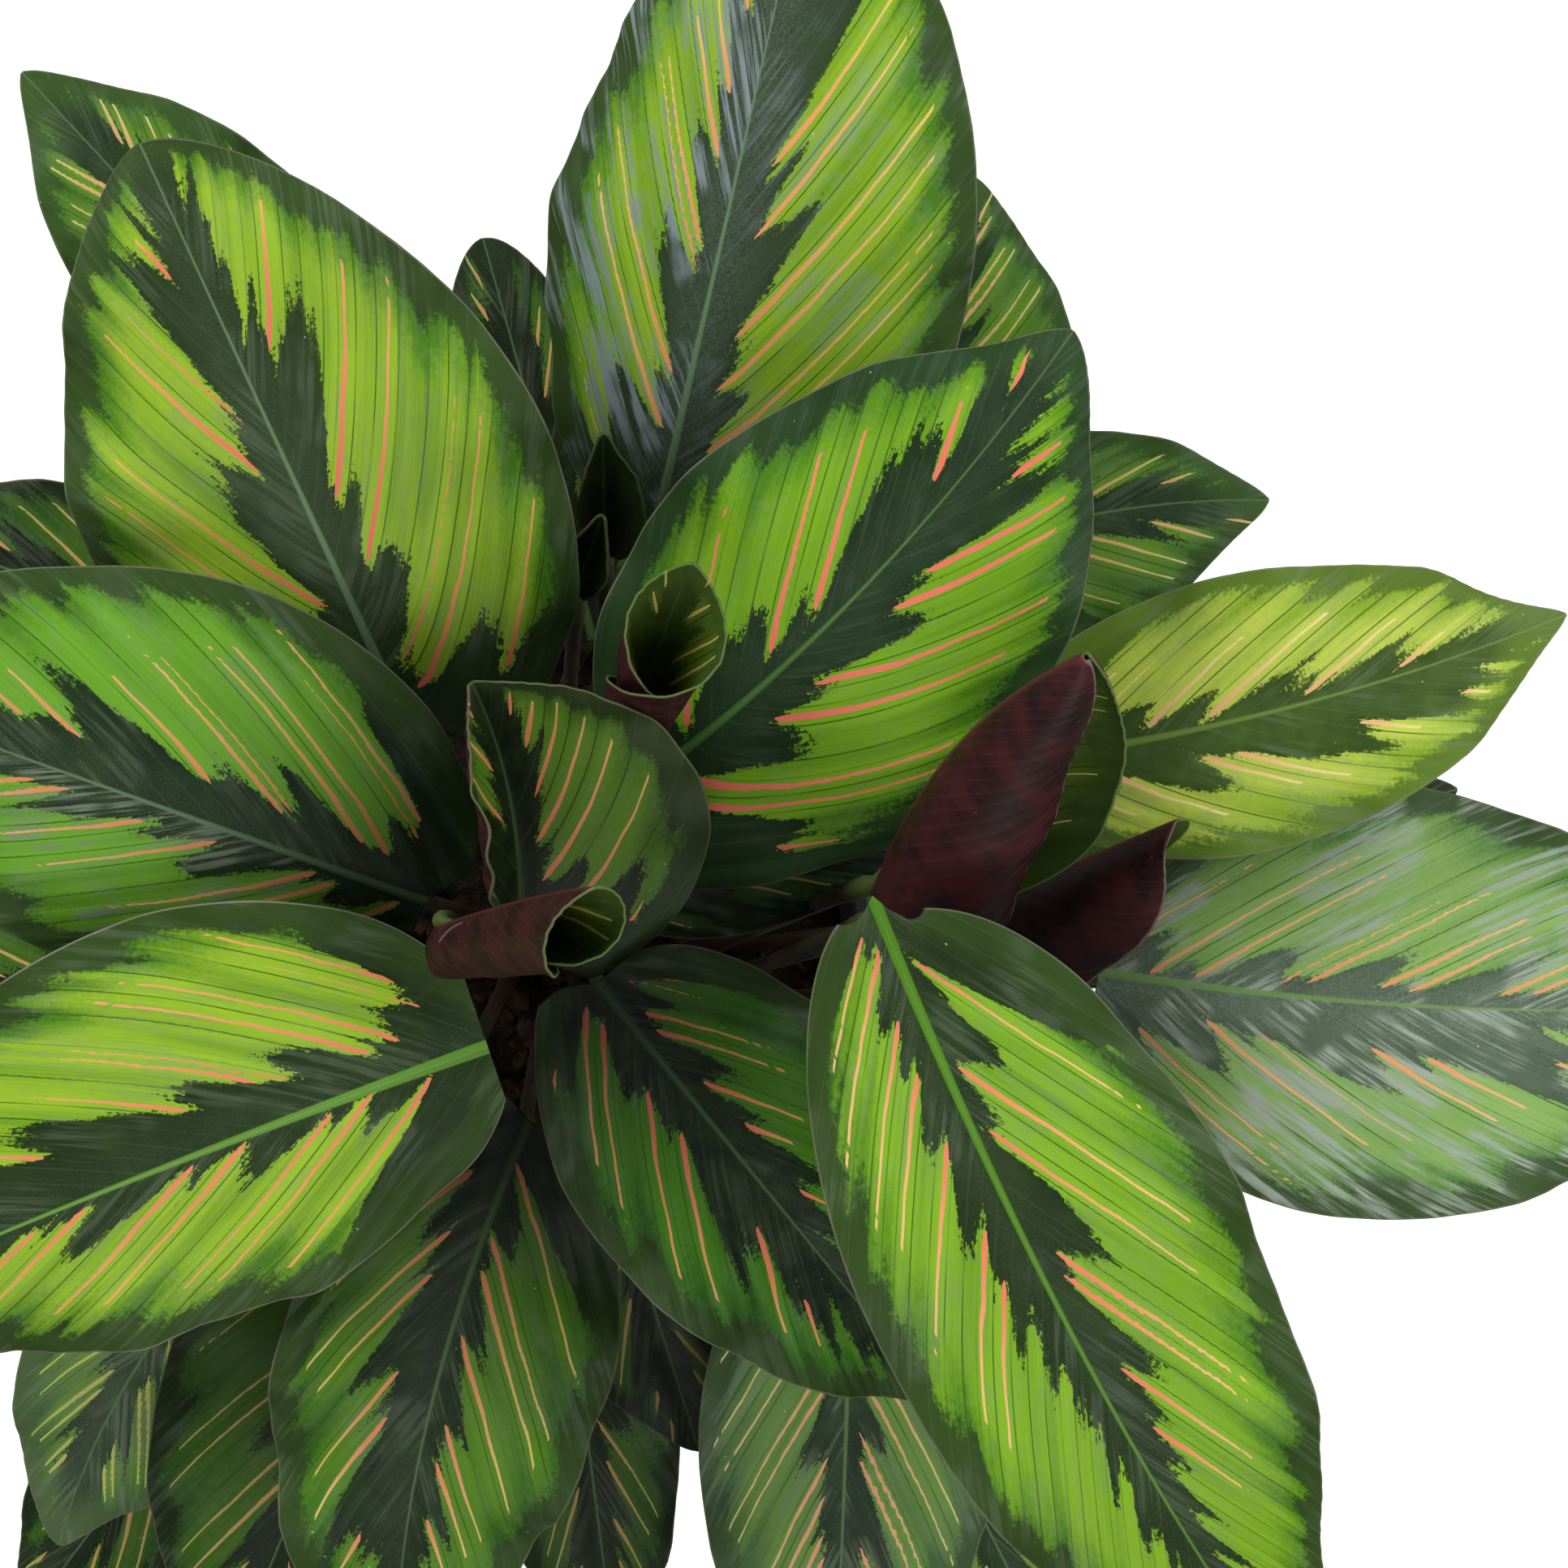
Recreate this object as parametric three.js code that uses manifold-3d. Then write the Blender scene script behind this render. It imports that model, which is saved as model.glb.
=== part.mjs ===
// Potted pinstripe calathea: a plain tapered nursery pot, its soil, and one solid for each leaf.
// Millimetres, +Z up. The origin is the middle of the pot's underside and +Y is north.
import * as THREE from "three";
import { mergeVertices } from "three/addons/utils/BufferGeometryUtils.js";
import Module from "manifold-3d";

const wasm = await Module();
wasm.setup();

// Pot
const POT_HEIGHT = 150;
const POT_TOP_RADIUS = 84;
const POT_BASE_RADIUS = 63;
const POT_WALL = 2;
const RIM_REACH = 4;
const RIM_HEIGHT = 11;
const BASE_BEVEL = 1.5;
const RIM_BEVEL = 1.2;
const MOUTH_BEVEL = 0.8;
const POT_SIDES = 40;
const DRAIN_COUNT = 6;
const DRAIN_RADIUS = 5.5;
const DRAIN_CIRCLE = 40;
const DRAIN_SIDES = 8;

// Soil
const SOIL_TOP = 133;
const SOIL_CROWN = 4;
const SOIL_LUMP = 1.2;
// The lumps are two sets of waves that cross, in radians per mm. The slanting set is weaker.
const LUMP_EAST = 0.21;
const LUMP_NORTH = 0.17;
const SLANT_EAST = 0.11;
const SLANT_NORTH = 0.29;
const SLANT_SHARE = 0.6;
const SOIL_SIDES = 30;
const SOIL_RINGS = [0.94, 0.7, 0.45, 0.2];
const SOIL_SIDE_GAP = 0.65;
const SEAT_GAP = 0.3;

// Leaves
const BLADE_THICKNESS = 0.8;
const STALK_RADIUS = 1.8;
const STALK_SIDES = 5;
const STALK_STEPS = 7;
const ROOT_DEPTH = 12;
const HOLE_SPARE = 0.8;
const HOLE_SIDES = 6;
const HOLE_ABOVE = 8;
const TIP_HALF_WIDTH = 0.5;
// Shares that shape every blade's outline: how wide it is at its very base, how much wider a lobe
// makes it there, where it is widest, how full it is, and how much its last quarter is drawn in.
const BASE_SHARE = 0.3;
const LOBE_WIDENS = 0.55;
const WIDEST = 0.76;
const FULLNESS = 0.65;
const POINT = 0.3;
const POINT_FROM = 0.75;
// A lobe's margin swings through this angle and fades out along the blade, and the waves fade out
// where a half is narrower than the calm width. The right half's waves run ahead of the left's.
const LOBE_SWING = 2.2;
const LOBE_FADE = 4;
const CALM_WIDTH = 15;
const WAVE_LEAD = 2.1;
// How much closer together the rows of a blade are at its two ends.
const END_CROWDING = 0.6;
// The share of the blade's length where the stalk meets it, and shares of the stalk's rise: how
// far it goes straight up, how far below the blade it bends over, and how far inward that bend lies.
const STALK_MEETS = 0.02;
const STALK_STRAIGHT = 0.45;
const STALK_BEND = 0.35;
const STALK_INWARD = 0.25;
const COLLAR = 4;

// Each leaf is given by where its stalk leaves the soil, and by the two ends of its blade.
// Pairs in halves, lobe, fold and cup are for the left half and the right half of the blade, as
// seen from its base.
// halves are their widths, and lobe is how far each one reaches back behind the stalk.
// arch lifts the middle of the midrib and sway moves it to the left.
// roll turns the blade about its midrib at the base and at the tip, and plus lifts the left half.
// fold and cup bend a half up from the midrib, and minus bends it down. A half with a bore is
// rolled into a tube of that radius instead, given at its base and at its tip.
// foot sets how wide a half is at its very base, as a share of its widest.
// full and point are that blade's own fullness and point, in place of the common ones.
// wave is the height of the waved edge, how many waves it has, and where the first one starts.
// grid counts the blade's cells along and across.
const LEAVES = {
  leaf_north: {
    root: [18, 37], base: [24, 95, 318], tip: [59, 249, 366], halves: [46, 57], lobe: [6, 9],
    arch: 14, sway: 0, roll: [0, 0], fold: [-24, 4], cup: [-16, -8], wave: [1.2, 3, 40],
    grid: [12, 8],
  },
  leaf_northeast: {
    root: [14, 12], base: [27, 39, 338], tip: [113, 131, 376], halves: [45, 48], lobe: [9, 22],
    arch: 14, sway: -5, roll: [0, 0], fold: [8, 6], cup: [-12, -20], wave: [2.5, 3, 0],
    grid: [12, 8],
  },
  leaf_northwest: {
    root: [-14, 22], base: [-35, 52, 318], tip: [-89, 170, 374], halves: [50, 56], lobe: [4, 20],
    arch: 10, sway: 0, roll: [0, 0], fold: [-4, 10], cup: [-14, -8], wave: [3, 3.5, 120],
    full: 0.6, point: 0, grid: [12, 8],
  },
  leaf_west: {
    root: [-18, 4], base: [-28, 7, 337], tip: [-170, 58, 346], halves: [42, 52], lobe: [0, 7],
    arch: 12, sway: 0, roll: [0, 0], fold: [-14, 8], cup: [-12, -8], wave: [2.5, 3, 200],
    grid: [12, 8],
  },
  leaf_southwest: {
    root: [-11, -11], base: [-14, -25, 350], tip: [-173, -89, 322], halves: [40, 54], lobe: [0, 0],
    arch: 10, sway: -2, roll: [0, 0], fold: [-12, 10], cup: [-14, -4], wave: [2.5, 3.5, 80],
    grid: [12, 8],
  },
  leaf_south_southwest: {
    root: [-3, -26], base: [-5, -42, 338], tip: [-36, -177, 285], halves: [38, 37], lobe: [0, 4],
    arch: 12, sway: -7, roll: [0, 0], fold: [6, 6], cup: [-14, -14], wave: [3.5, 4, 0],
    grid: [13, 8],
  },
  leaf_south: {
    root: [8, -6], base: [10, -11, 347], tip: [87, -105, 336], halves: [36, 36], lobe: [0, 4],
    arch: 12, sway: 0, roll: [0, 0], fold: [6, 8], cup: [-12, -12], wave: [3, 3.5, 0],
    grid: [12, 8],
  },
  leaf_southeast: {
    root: [32, -18], base: [68, 8, 388], tip: [173, -178, 330], halves: [46, 38], lobe: [-8, -4],
    arch: 22, sway: -8.5, roll: [0, 0], fold: [6, 6], cup: [-12, -12], wave: [3.5, 3.5, 0],
    grid: [14, 8],
  },
  leaf_east: {
    root: [46, -18], base: [128, -9, 302], tip: [294, -17, 275], halves: [52, 51], lobe: [0, 0],
    arch: 10, sway: -4.5, roll: [0, 0], fold: [6, 6], cup: [-8, -8], wave: [2.5, 3, 60],
    grid: [12, 8],
  },
  leaf_east_northeast: {
    root: [42, 10], base: [114, 41, 312], tip: [235, 74, 322], halves: [33, 31], lobe: [8, 6],
    arch: 10, sway: -4, roll: [0, 0], fold: [8, 8], cup: [-10, -10], wave: [2, 3, 0],
    point: 0.5, grid: [11, 6],
  },
  dark_leaf_northeast: {
    root: [34, 30], base: [84, 86, 268], tip: [172, 104, 286], halves: [22, 32], lobe: [0, 0],
    arch: 8, sway: 5, roll: [0, 0], fold: [6, 6], cup: [-10, -10], wave: [1.5, 3, 0],
    grid: [9, 6],
  },
  low_leaf_north_northeast: {
    root: [27, 34], base: [82, 102, 256], tip: [102, 185, 270], halves: [27, 38], lobe: [0, 0],
    arch: 8, sway: 0, roll: [0, 0], fold: [6, 6], cup: [-10, -10], wave: [1.5, 3, 0],
    grid: [9, 6],
  },
  low_leaf_northwest: {
    root: [-26, 34], base: [-51, 123, 270], tip: [-124, 201, 300], halves: [28, 31], lobe: [0, 0],
    arch: 8, sway: 0, roll: [0, 0], fold: [6, 6], cup: [-10, -10], wave: [2, 3, 0],
    grid: [9, 6],
  },
  low_leaf_north: {
    root: [-8, 40], base: [10, 72, 254], tip: [-17, 168, 272], halves: [24, 24], lobe: [0, 0],
    arch: 6, sway: 0, roll: [0, 0], fold: [6, 6], cup: [-10, -10], wave: [1.5, 3, 0],
    foot: [0.6, 0.6], full: 0.55, point: 0, grid: [8, 6],
  },
  low_leaf_west: {
    root: [-34, 14], base: [-75, 69, 262], tip: [-163, 98, 265], halves: [26, 26], lobe: [0, 0],
    arch: 8, sway: 0, roll: [0, 0], fold: [6, 6], cup: [-10, -10], wave: [2, 3, 0],
    grid: [9, 6],
  },
  low_leaf_far_west: {
    root: [-40, -1], base: [-92, -10, 232], tip: [-205, -16, 208], halves: [29, 31], lobe: [0, 0],
    arch: 8, sway: 3, roll: [0, 0], fold: [6, 6], cup: [-12, -12], wave: [2, 3, 90],
    grid: [8, 6],
  },
  low_leaf_north_northwest: {
    root: [-20, 40], base: [-28, 96, 214], tip: [-46, 178, 196], halves: [25, 24], lobe: [0, 0],
    arch: 8, sway: 2, roll: [0, 0], fold: [6, 6], cup: [-12, -12], wave: [2, 3, 30],
    grid: [8, 6],
  },
  low_leaf_east: {
    root: [46, -4], base: [101, 4, 238], tip: [226, 36, 248], halves: [28, 28], lobe: [0, 0],
    arch: 8, sway: 0, roll: [0, 0], fold: [6, 6], cup: [-10, -10], wave: [2, 3, 0],
    grid: [9, 6],
  },
  low_leaf_southwest: {
    root: [-28, -24], base: [-68, -64, 268], tip: [-121, -151, 235], halves: [28, 28], lobe: [0, 0],
    arch: 8, sway: -6, roll: [0, 0], fold: [6, 6], cup: [-10, -10], wave: [2, 3, 0],
    grid: [9, 6],
  },
  low_leaf_west_southwest: {
    root: [-36, -14], base: [-70, -90, 225], tip: [-134, -175, 205], halves: [25, 25], lobe: [0, 0],
    arch: 8, sway: 0, roll: [0, 0], fold: [6, 6], cup: [-10, -10], wave: [2, 3, 0],
    grid: [9, 6],
  },
  dark_leaf_southwest: {
    root: [-18, -32], base: [-31, -64, 275], tip: [-80, -183, 250], halves: [42, 42], lobe: [0, 0],
    arch: 8, sway: 0, roll: [0, 0], fold: [6, 6], cup: [-10, -10], wave: [2, 3, 0],
    grid: [10, 6],
  },
  dark_leaf_south: {
    root: [22, -34], base: [73, -69, 262], tip: [70, -202, 235], halves: [38, 36], lobe: [0, 0],
    arch: 8, sway: 0, roll: [0, 0], fold: [6, 6], cup: [-10, -10], wave: [2, 3, 0],
    grid: [10, 6],
  },
  low_leaf_south_southeast: {
    root: [36, -32], base: [85, -101, 225], tip: [128, -185, 215], halves: [28, 28], lobe: [0, 0],
    arch: 8, sway: 0, roll: [0, 0], fold: [6, 6], cup: [-10, -10], wave: [2, 3, 0],
    grid: [8, 6],
  },
  low_leaf_south: {
    root: [-6, -42], base: [2, -71, 225], tip: [17, -187, 200], halves: [24, 28], lobe: [0, 0],
    arch: 8, sway: 0, roll: [0, 0], fold: [6, 6], cup: [-10, -10], wave: [2, 3, 0],
    grid: [9, 6],
  },
  low_leaf_south_middle: {
    root: [8, -34], base: [12, -50, 255], tip: [37, -129, 235], halves: [25, 25], lobe: [0, 0],
    arch: 6, sway: 0, roll: [0, 0], fold: [6, 6], cup: [-10, -10], wave: [2, 3, 0],
    grid: [8, 6],
  },
  inner_leaf_east: {
    root: [24, 2], base: [14, 9, 290], tip: [97, 31, 298], halves: [17, 13], lobe: [0, 0],
    arch: 6, sway: 0, roll: [0, 0], fold: [6, 6], cup: [-10, -10], wave: [1.5, 3, 0],
    full: 0.55, point: 0, grid: [8, 6],
  },
  inner_leaf_southeast: {
    root: [20, -14], base: [38, -14, 258], tip: [100, -56, 246], halves: [7, 26], lobe: [0, 0],
    arch: 6, sway: 0, roll: [0, 0], fold: [6, 6], cup: [-10, -10], wave: [1.5, 3, 0],
    grid: [8, 6],
  },
  young_leaf_middle: {
    root: [-2, 8], base: [-7, 3, 348], tip: [-17, 53, 384], halves: [30, 43], lobe: [0, 14],
    arch: -3, sway: -3, roll: [0, -8], fold: [50, 8], cup: [60, -6], wave: [1, 2, 0],
    full: 0.5, point: 0, grid: [10, 10],
  },
  bud_north: {
    root: [13, 30], base: [12, 87, 314], tip: [11.3, 111, 346], halves: [10, 12], lobe: [0, 0],
    arch: -3, sway: 0, roll: [0, 0], fold: [10, 10], cup: [70, 50], wave: [0, 1, 0], grid: [7, 8],
  },
  bud_middle: {
    root: [2, 20], base: [5, 77.5, 320], tip: [11, 93.5, 337], halves: [11, 10], lobe: [0, 0], arch: -3,
    sway: 0, roll: [0, 0], fold: [10, 10], cup: [80, 80], wave: [0, 1, 0], grid: [7, 8],
  },
  rolled_leaf_north: {
    root: [12, 3], base: [18, 36.5, 338], tip: [29.6, 77.5, 394], halves: [30, 42], lobe: [-6, -6],
    arch: -3, sway: 2, roll: [0, 0], fold: [0, 0], bore: [[3, 11], [4, 13.5]], wave: [0, 1, 0],
    full: 0.75, grid: [9, 12],
  },
  rolled_leaf_middle: {
    root: [-10, -2], base: [-24, 0.5, 368], tip: [9, 8.5, 432], halves: [28, 34], lobe: [0, 0],
    arch: -3, sway: 1, roll: [90, 90], fold: [0, 0], bore: [[5.5, 9.4], [4.5, 8.4]],
    wave: [0, 1, 0], foot: [0.5, 0.5], grid: [9, 12],
  },
  rolled_leaf_east: {
    root: [38, -5], base: [72.2, 8.5, 349], tip: [109.6, 57, 420], halves: [46, 44], lobe: [0, 0],
    arch: -3, sway: 7, roll: [90, 90], fold: [0, 20], cup: [185, 100], wave: [0, 1, 0],
    foot: [0.97, 0.3], full: 0.55, point: 0, grid: [10, 12],
  },
  rolled_leaf_southeast: {
    root: [42, -12], base: [89, 1, 312], tip: [136, 24, 375], halves: [37, 13], lobe: [0, 0],
    arch: -3, sway: 0, roll: [90, 90], fold: [0, 0], bore: [[20, 8], [14, 7]], wave: [0, 1, 0],
    foot: [0.97, 0.9], full: 0.35, point: 0, grid: [9, 12],
  },
};

function material(color, roughness) {
  return new THREE.MeshStandardMaterial({ color, roughness, metalness: 0 });
}

const limeLeaf = material(0x7daa28, 0.42);
const darkLeaf = material(0x2c4a2a, 0.45);
const youngLeaf = material(0x5a2a35, 0.5);
const potPlastic = material(0x26282a, 0.6);
const darkSoil = material(0x2e2219, 0.95);

function toSolid(geometry) {
  const plain = geometry.clone();
  plain.deleteAttribute("normal");
  plain.deleteAttribute("uv");
  const merged = mergeVertices(plain, 1e-4);
  return new wasm.Manifold(new wasm.Mesh({
    numProp: 3,
    vertProperties: Float32Array.from(merged.attributes.position.array),
    triVerts: Uint32Array.from(merged.index.array),
  }));
}

function toGeometry(solid) {
  const mesh = solid.getMesh();
  const geometry = new THREE.BufferGeometry();
  geometry.setAttribute("position", new THREE.BufferAttribute(mesh.vertProperties, 3));
  geometry.setIndex(new THREE.BufferAttribute(mesh.triVerts, 1));
  geometry.computeVertexNormals();
  return geometry;
}

const radians = THREE.MathUtils.degToRad;
const mix = THREE.MathUtils.lerp;
const smoothstep = THREE.MathUtils.smoothstep;

// The width of one half of a blade at a share t of its length: broad and rounded at the base,
// widest a little before the middle, and drawn out to a short point.
function halfWidth(leaf, t, side) {
  const { full = FULLNESS, point = POINT } = leaf;
  const widest = leaf.halves[side];
  const foot = leaf.foot?.[side] ?? BASE_SHARE + LOBE_WIDENS * leaf.lobe[side] / widest;
  const start = (Math.asin(foot ** (1 / full)) / Math.PI) ** (1 / WIDEST);
  const oval = Math.sin(Math.PI * mix(start, 1, t) ** WIDEST) ** full;
  return Math.max(TIP_HALF_WIDTH, widest * oval * (1 - point * smoothstep(t, POINT_FROM, 1)));
}

// The midrib's point at t, and the directions along it, to its left and up from the blade.
function midribFrame(leaf, t) {
  const base = new THREE.Vector3(...leaf.base);
  const chord = new THREE.Vector3(...leaf.tip).sub(base);
  const along = chord.clone().normalize();
  const up = new THREE.Vector3(0, 0, 1).addScaledVector(along, -along.z).normalize();
  const left = up.clone().cross(along);
  const bulge = 4 * t * (1 - t);
  const slope = 4 - 8 * t;
  const point = base.addScaledVector(chord, t)
    .addScaledVector(up, leaf.arch * bulge)
    .addScaledVector(left, leaf.sway * bulge);
  const tangent = chord.clone()
    .addScaledVector(up, leaf.arch * slope)
    .addScaledVector(left, leaf.sway * slope)
    .normalize();
  const flatUp = up.addScaledVector(tangent, -up.dot(tangent)).normalize();
  const flatLeft = flatUp.clone().cross(tangent);
  const roll = radians(mix(leaf.roll[0], leaf.roll[1], t));
  return {
    point,
    tangent,
    left: flatLeft.clone().multiplyScalar(Math.cos(roll)).addScaledVector(flatUp, Math.sin(roll)),
    up: flatUp.clone().multiplyScalar(Math.cos(roll)).addScaledVector(flatLeft, -Math.sin(roll)),
  };
}

// The angle that a half turns through between its midrib and its margin.
function turnAngle(leaf, t, side, half) {
  return leaf.bore ? half / mix(...leaf.bore[side], t) : radians(leaf.cup[side]);
}

// A point of the blade and its normal, at t along the midrib and q from it: 1 is the left edge
// and -1 the right one.
function bladePoint(leaf, t, q) {
  const frame = midribFrame(leaf, t);
  const side = q > 0 ? 0 : 1;
  const out = Math.abs(q);
  const half = halfWidth(leaf, t, side);
  const fold = radians(leaf.fold[side]);
  const turn = turnAngle(leaf, t, side, half);
  const angle = fold + turn * out;
  const across = (Math.sin(angle) - Math.sin(fold)) / turn * half * Math.sign(q);
  const rise = (Math.cos(fold) - Math.cos(angle)) / turn * half;
  const [height, count, start] = leaf.wave;
  const envelope = Math.min(1, half / CALM_WIDTH) * out * out;
  const phase = radians(start) + side * WAVE_LEAD;
  const wave = height * envelope * Math.sin(2 * Math.PI * count * t + phase);
  const back = leaf.lobe[side] * Math.sin(LOBE_SWING * out) * (1 - t) ** LOBE_FADE;
  const normal = frame.up.clone().multiplyScalar(Math.cos(angle))
    .addScaledVector(frame.left, -Math.sin(angle) * Math.sign(q));
  const point = frame.point.clone()
    .addScaledVector(frame.left, across)
    .addScaledVector(frame.up, rise)
    .addScaledVector(frame.tangent, -back)
    .addScaledVector(normal, wave);
  return { point, normal };
}

// Shares of the blade's length, closer together at its two ends.
function stations(count) {
  return Array.from({ length: count + 1 }, (_, i) => {
    const even = i / count;
    return mix(even, 0.5 - 0.5 * Math.cos(Math.PI * even), END_CROWDING);
  });
}

// A blade as one closed sheet: the same grid on the upper and the lower face, joined at its rim.
function bladeGeometry(leaf) {
  const [lengthCells, widthCells] = leaf.grid;
  const along = stations(lengthCells);
  const columns = widthCells + 1;
  const faceSize = along.length * columns;
  const vertices = [];
  for (const offset of [BLADE_THICKNESS / 2, -BLADE_THICKNESS / 2]) {
    for (const t of along) {
      for (let j = 0; j < columns; j += 1) {
        const spot = bladePoint(leaf, t, 1 - 2 * j / widthCells);
        vertices.push(...spot.point.addScaledVector(spot.normal, offset).toArray());
      }
    }
  }
  const triangles = [];
  const quad = (a, b, c, d) => triangles.push(a, c, b, a, d, c);
  for (let i = 0; i < lengthCells; i += 1) {
    for (let j = 0; j < widthCells; j += 1) {
      const a = i * columns + j;
      const b = a + columns;
      quad(a, b, b + 1, a + 1);
      triangles.push(a + faceSize, b + faceSize, b + 1 + faceSize);
      triangles.push(a + faceSize, b + 1 + faceSize, a + 1 + faceSize);
    }
  }
  const lastRow = lengthCells * columns;
  for (let j = 0; j < widthCells; j += 1) {
    quad(j, j + 1, j + 1 + faceSize, j + faceSize);
    quad(lastRow + j + 1, lastRow + j, lastRow + j + faceSize, lastRow + j + 1 + faceSize);
  }
  for (let i = 0; i < lengthCells; i += 1) {
    const a = i * columns;
    const b = a + columns;
    quad(b, a, a + faceSize, b + faceSize);
    const c = a + widthCells;
    quad(c, c + columns, c + columns + faceSize, c + faceSize);
  }
  const geometry = new THREE.BufferGeometry();
  geometry.setAttribute("position", new THREE.Float32BufferAttribute(vertices, 3));
  geometry.setIndex(triangles);
  return geometry;
}

function soilHeight(x, y) {
  const reach = Math.hypot(x, y) / POT_TOP_RADIUS;
  const crossing = Math.sin(x * LUMP_EAST) * Math.cos(y * LUMP_NORTH);
  const slanting = SLANT_SHARE * Math.sin(x * SLANT_EAST + y * SLANT_NORTH);
  return SOIL_TOP + SOIL_CROWN * (1 - reach * reach) + SOIL_LUMP * (crossing + slanting);
}

function rootFoot(leaf) {
  const [x, y] = leaf.root;
  return new THREE.Vector3(x, y, soilHeight(x, y) - ROOT_DEPTH);
}

// A stalk rises straight out of its hole, leans out, and meets the blade from below.
function stalkCurve(leaf) {
  const foot = rootFoot(leaf);
  const collar = foot.clone().setZ(foot.z + ROOT_DEPTH + COLLAR);
  const frame = midribFrame(leaf, STALK_MEETS);
  const top = frame.point.clone().addScaledVector(frame.up, -BLADE_THICKNESS / 2);
  const rise = top.z - collar.z;
  const inward = foot.clone().sub(top).setZ(0).multiplyScalar(STALK_INWARD);
  const under = top.clone().add(inward).setZ(top.z - STALK_BEND * rise);
  const path = new THREE.CurvePath();
  path.add(new THREE.LineCurve3(foot, collar));
  const lower = collar.clone().setZ(collar.z + STALK_STRAIGHT * rise);
  path.add(new THREE.CubicBezierCurve3(collar, lower, under, top));
  return path;
}

function leafSolid(leaf) {
  const section = new THREE.Shape();
  for (let k = 0; k < STALK_SIDES; k += 1) {
    const angle = 2 * Math.PI * k / STALK_SIDES;
    const x = STALK_RADIUS * Math.cos(angle);
    const y = STALK_RADIUS * Math.sin(angle);
    if (k === 0) section.moveTo(x, y);
    else section.lineTo(x, y);
  }
  const stalk = new THREE.ExtrudeGeometry(section, {
    steps: STALK_STEPS,
    bevelEnabled: false,
    extrudePath: stalkCurve(leaf),
  });
  return toSolid(bladeGeometry(leaf)).add(toSolid(stalk));
}

function wallRadius(z) {
  return mix(POT_BASE_RADIUS, POT_TOP_RADIUS, z / POT_HEIGHT);
}

function turned(profile, sides) {
  return new THREE.LatheGeometry(profile.map(([r, z]) => new THREE.Vector2(r, z)), sides)
    .rotateX(Math.PI / 2);
}

function potSolid() {
  const rimFoot = POT_HEIGHT - RIM_HEIGHT;
  const profile = [
    [0, 0],
    [POT_BASE_RADIUS - BASE_BEVEL, 0],
    [POT_BASE_RADIUS, BASE_BEVEL],
    [wallRadius(rimFoot), rimFoot],
    [wallRadius(rimFoot) + RIM_REACH, rimFoot + MOUTH_BEVEL],
    [POT_TOP_RADIUS + RIM_REACH, POT_HEIGHT - RIM_BEVEL],
    [POT_TOP_RADIUS + RIM_REACH - RIM_BEVEL, POT_HEIGHT],
    [POT_TOP_RADIUS - POT_WALL + MOUTH_BEVEL, POT_HEIGHT],
    [POT_TOP_RADIUS - POT_WALL, POT_HEIGHT - MOUTH_BEVEL],
    [POT_BASE_RADIUS - POT_WALL, POT_WALL],
    [0, POT_WALL],
  ];
  let pot = toSolid(turned(profile, POT_SIDES));
  for (let k = 0; k < DRAIN_COUNT; k += 1) {
    const angle = 2 * Math.PI * k / DRAIN_COUNT;
    const drill = new THREE.CylinderGeometry(DRAIN_RADIUS, DRAIN_RADIUS, 4 * POT_WALL, DRAIN_SIDES)
      .rotateX(Math.PI / 2)
      .translate(DRAIN_CIRCLE * Math.cos(angle), DRAIN_CIRCLE * Math.sin(angle), 0);
    pot = pot.subtract(toSolid(drill));
  }
  return pot;
}

function soilSolid(leaves) {
  const floor = POT_WALL + SEAT_GAP;
  const inner = (z) => wallRadius(z) - POT_WALL - SOIL_SIDE_GAP;
  const profile = [[0, floor], [inner(floor), floor], [inner(SOIL_TOP), SOIL_TOP]];
  for (const share of SOIL_RINGS) profile.push([inner(SOIL_TOP) * share, SOIL_TOP + 1]);
  profile.push([0, SOIL_TOP + 1]);
  const geometry = turned(profile, SOIL_SIDES);
  const position = geometry.attributes.position;
  for (let i = 0; i < position.count; i += 1) {
    if (position.getZ(i) > SOIL_TOP + 0.5) {
      position.setZ(i, soilHeight(position.getX(i), position.getY(i)));
    }
  }
  let soil = toSolid(geometry);
  for (const leaf of leaves) {
    const foot = rootFoot(leaf);
    const radius = STALK_RADIUS + HOLE_SPARE;
    const depth = ROOT_DEPTH + SEAT_GAP + HOLE_ABOVE;
    const hole = new THREE.CylinderGeometry(radius, radius, depth, HOLE_SIDES)
      .rotateX(Math.PI / 2)
      .translate(foot.x, foot.y, foot.z - SEAT_GAP + depth / 2);
    soil = soil.subtract(toSolid(hole));
  }
  return soil;
}

function named(name, solid, look) {
  const mesh = new THREE.Mesh(toGeometry(solid), look);
  mesh.name = name;
  return mesh;
}

function leafLook(name) {
  if (name.startsWith("leaf_")) return limeLeaf.clone();
  if (name.startsWith("rolled_") || name.startsWith("bud_")) return youngLeaf.clone();
  return darkLeaf.clone();
}

const plant = new THREE.Group();
plant.add(named("pot", potSolid(), potPlastic));
plant.add(named("soil", soilSolid(Object.values(LEAVES)), darkSoil));
for (const [name, leaf] of Object.entries(LEAVES)) {
  plant.add(named(name, leafSolid(leaf), leafLook(name)));
}

export default plant;
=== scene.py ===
# Potted pinstripe calathea, dressed for its render. Metres, +Z up, the pot's underside at the origin.
import functools
import math
import random

import bpy
import numpy as np
from mathutils import Matrix, Vector, noise


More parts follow.
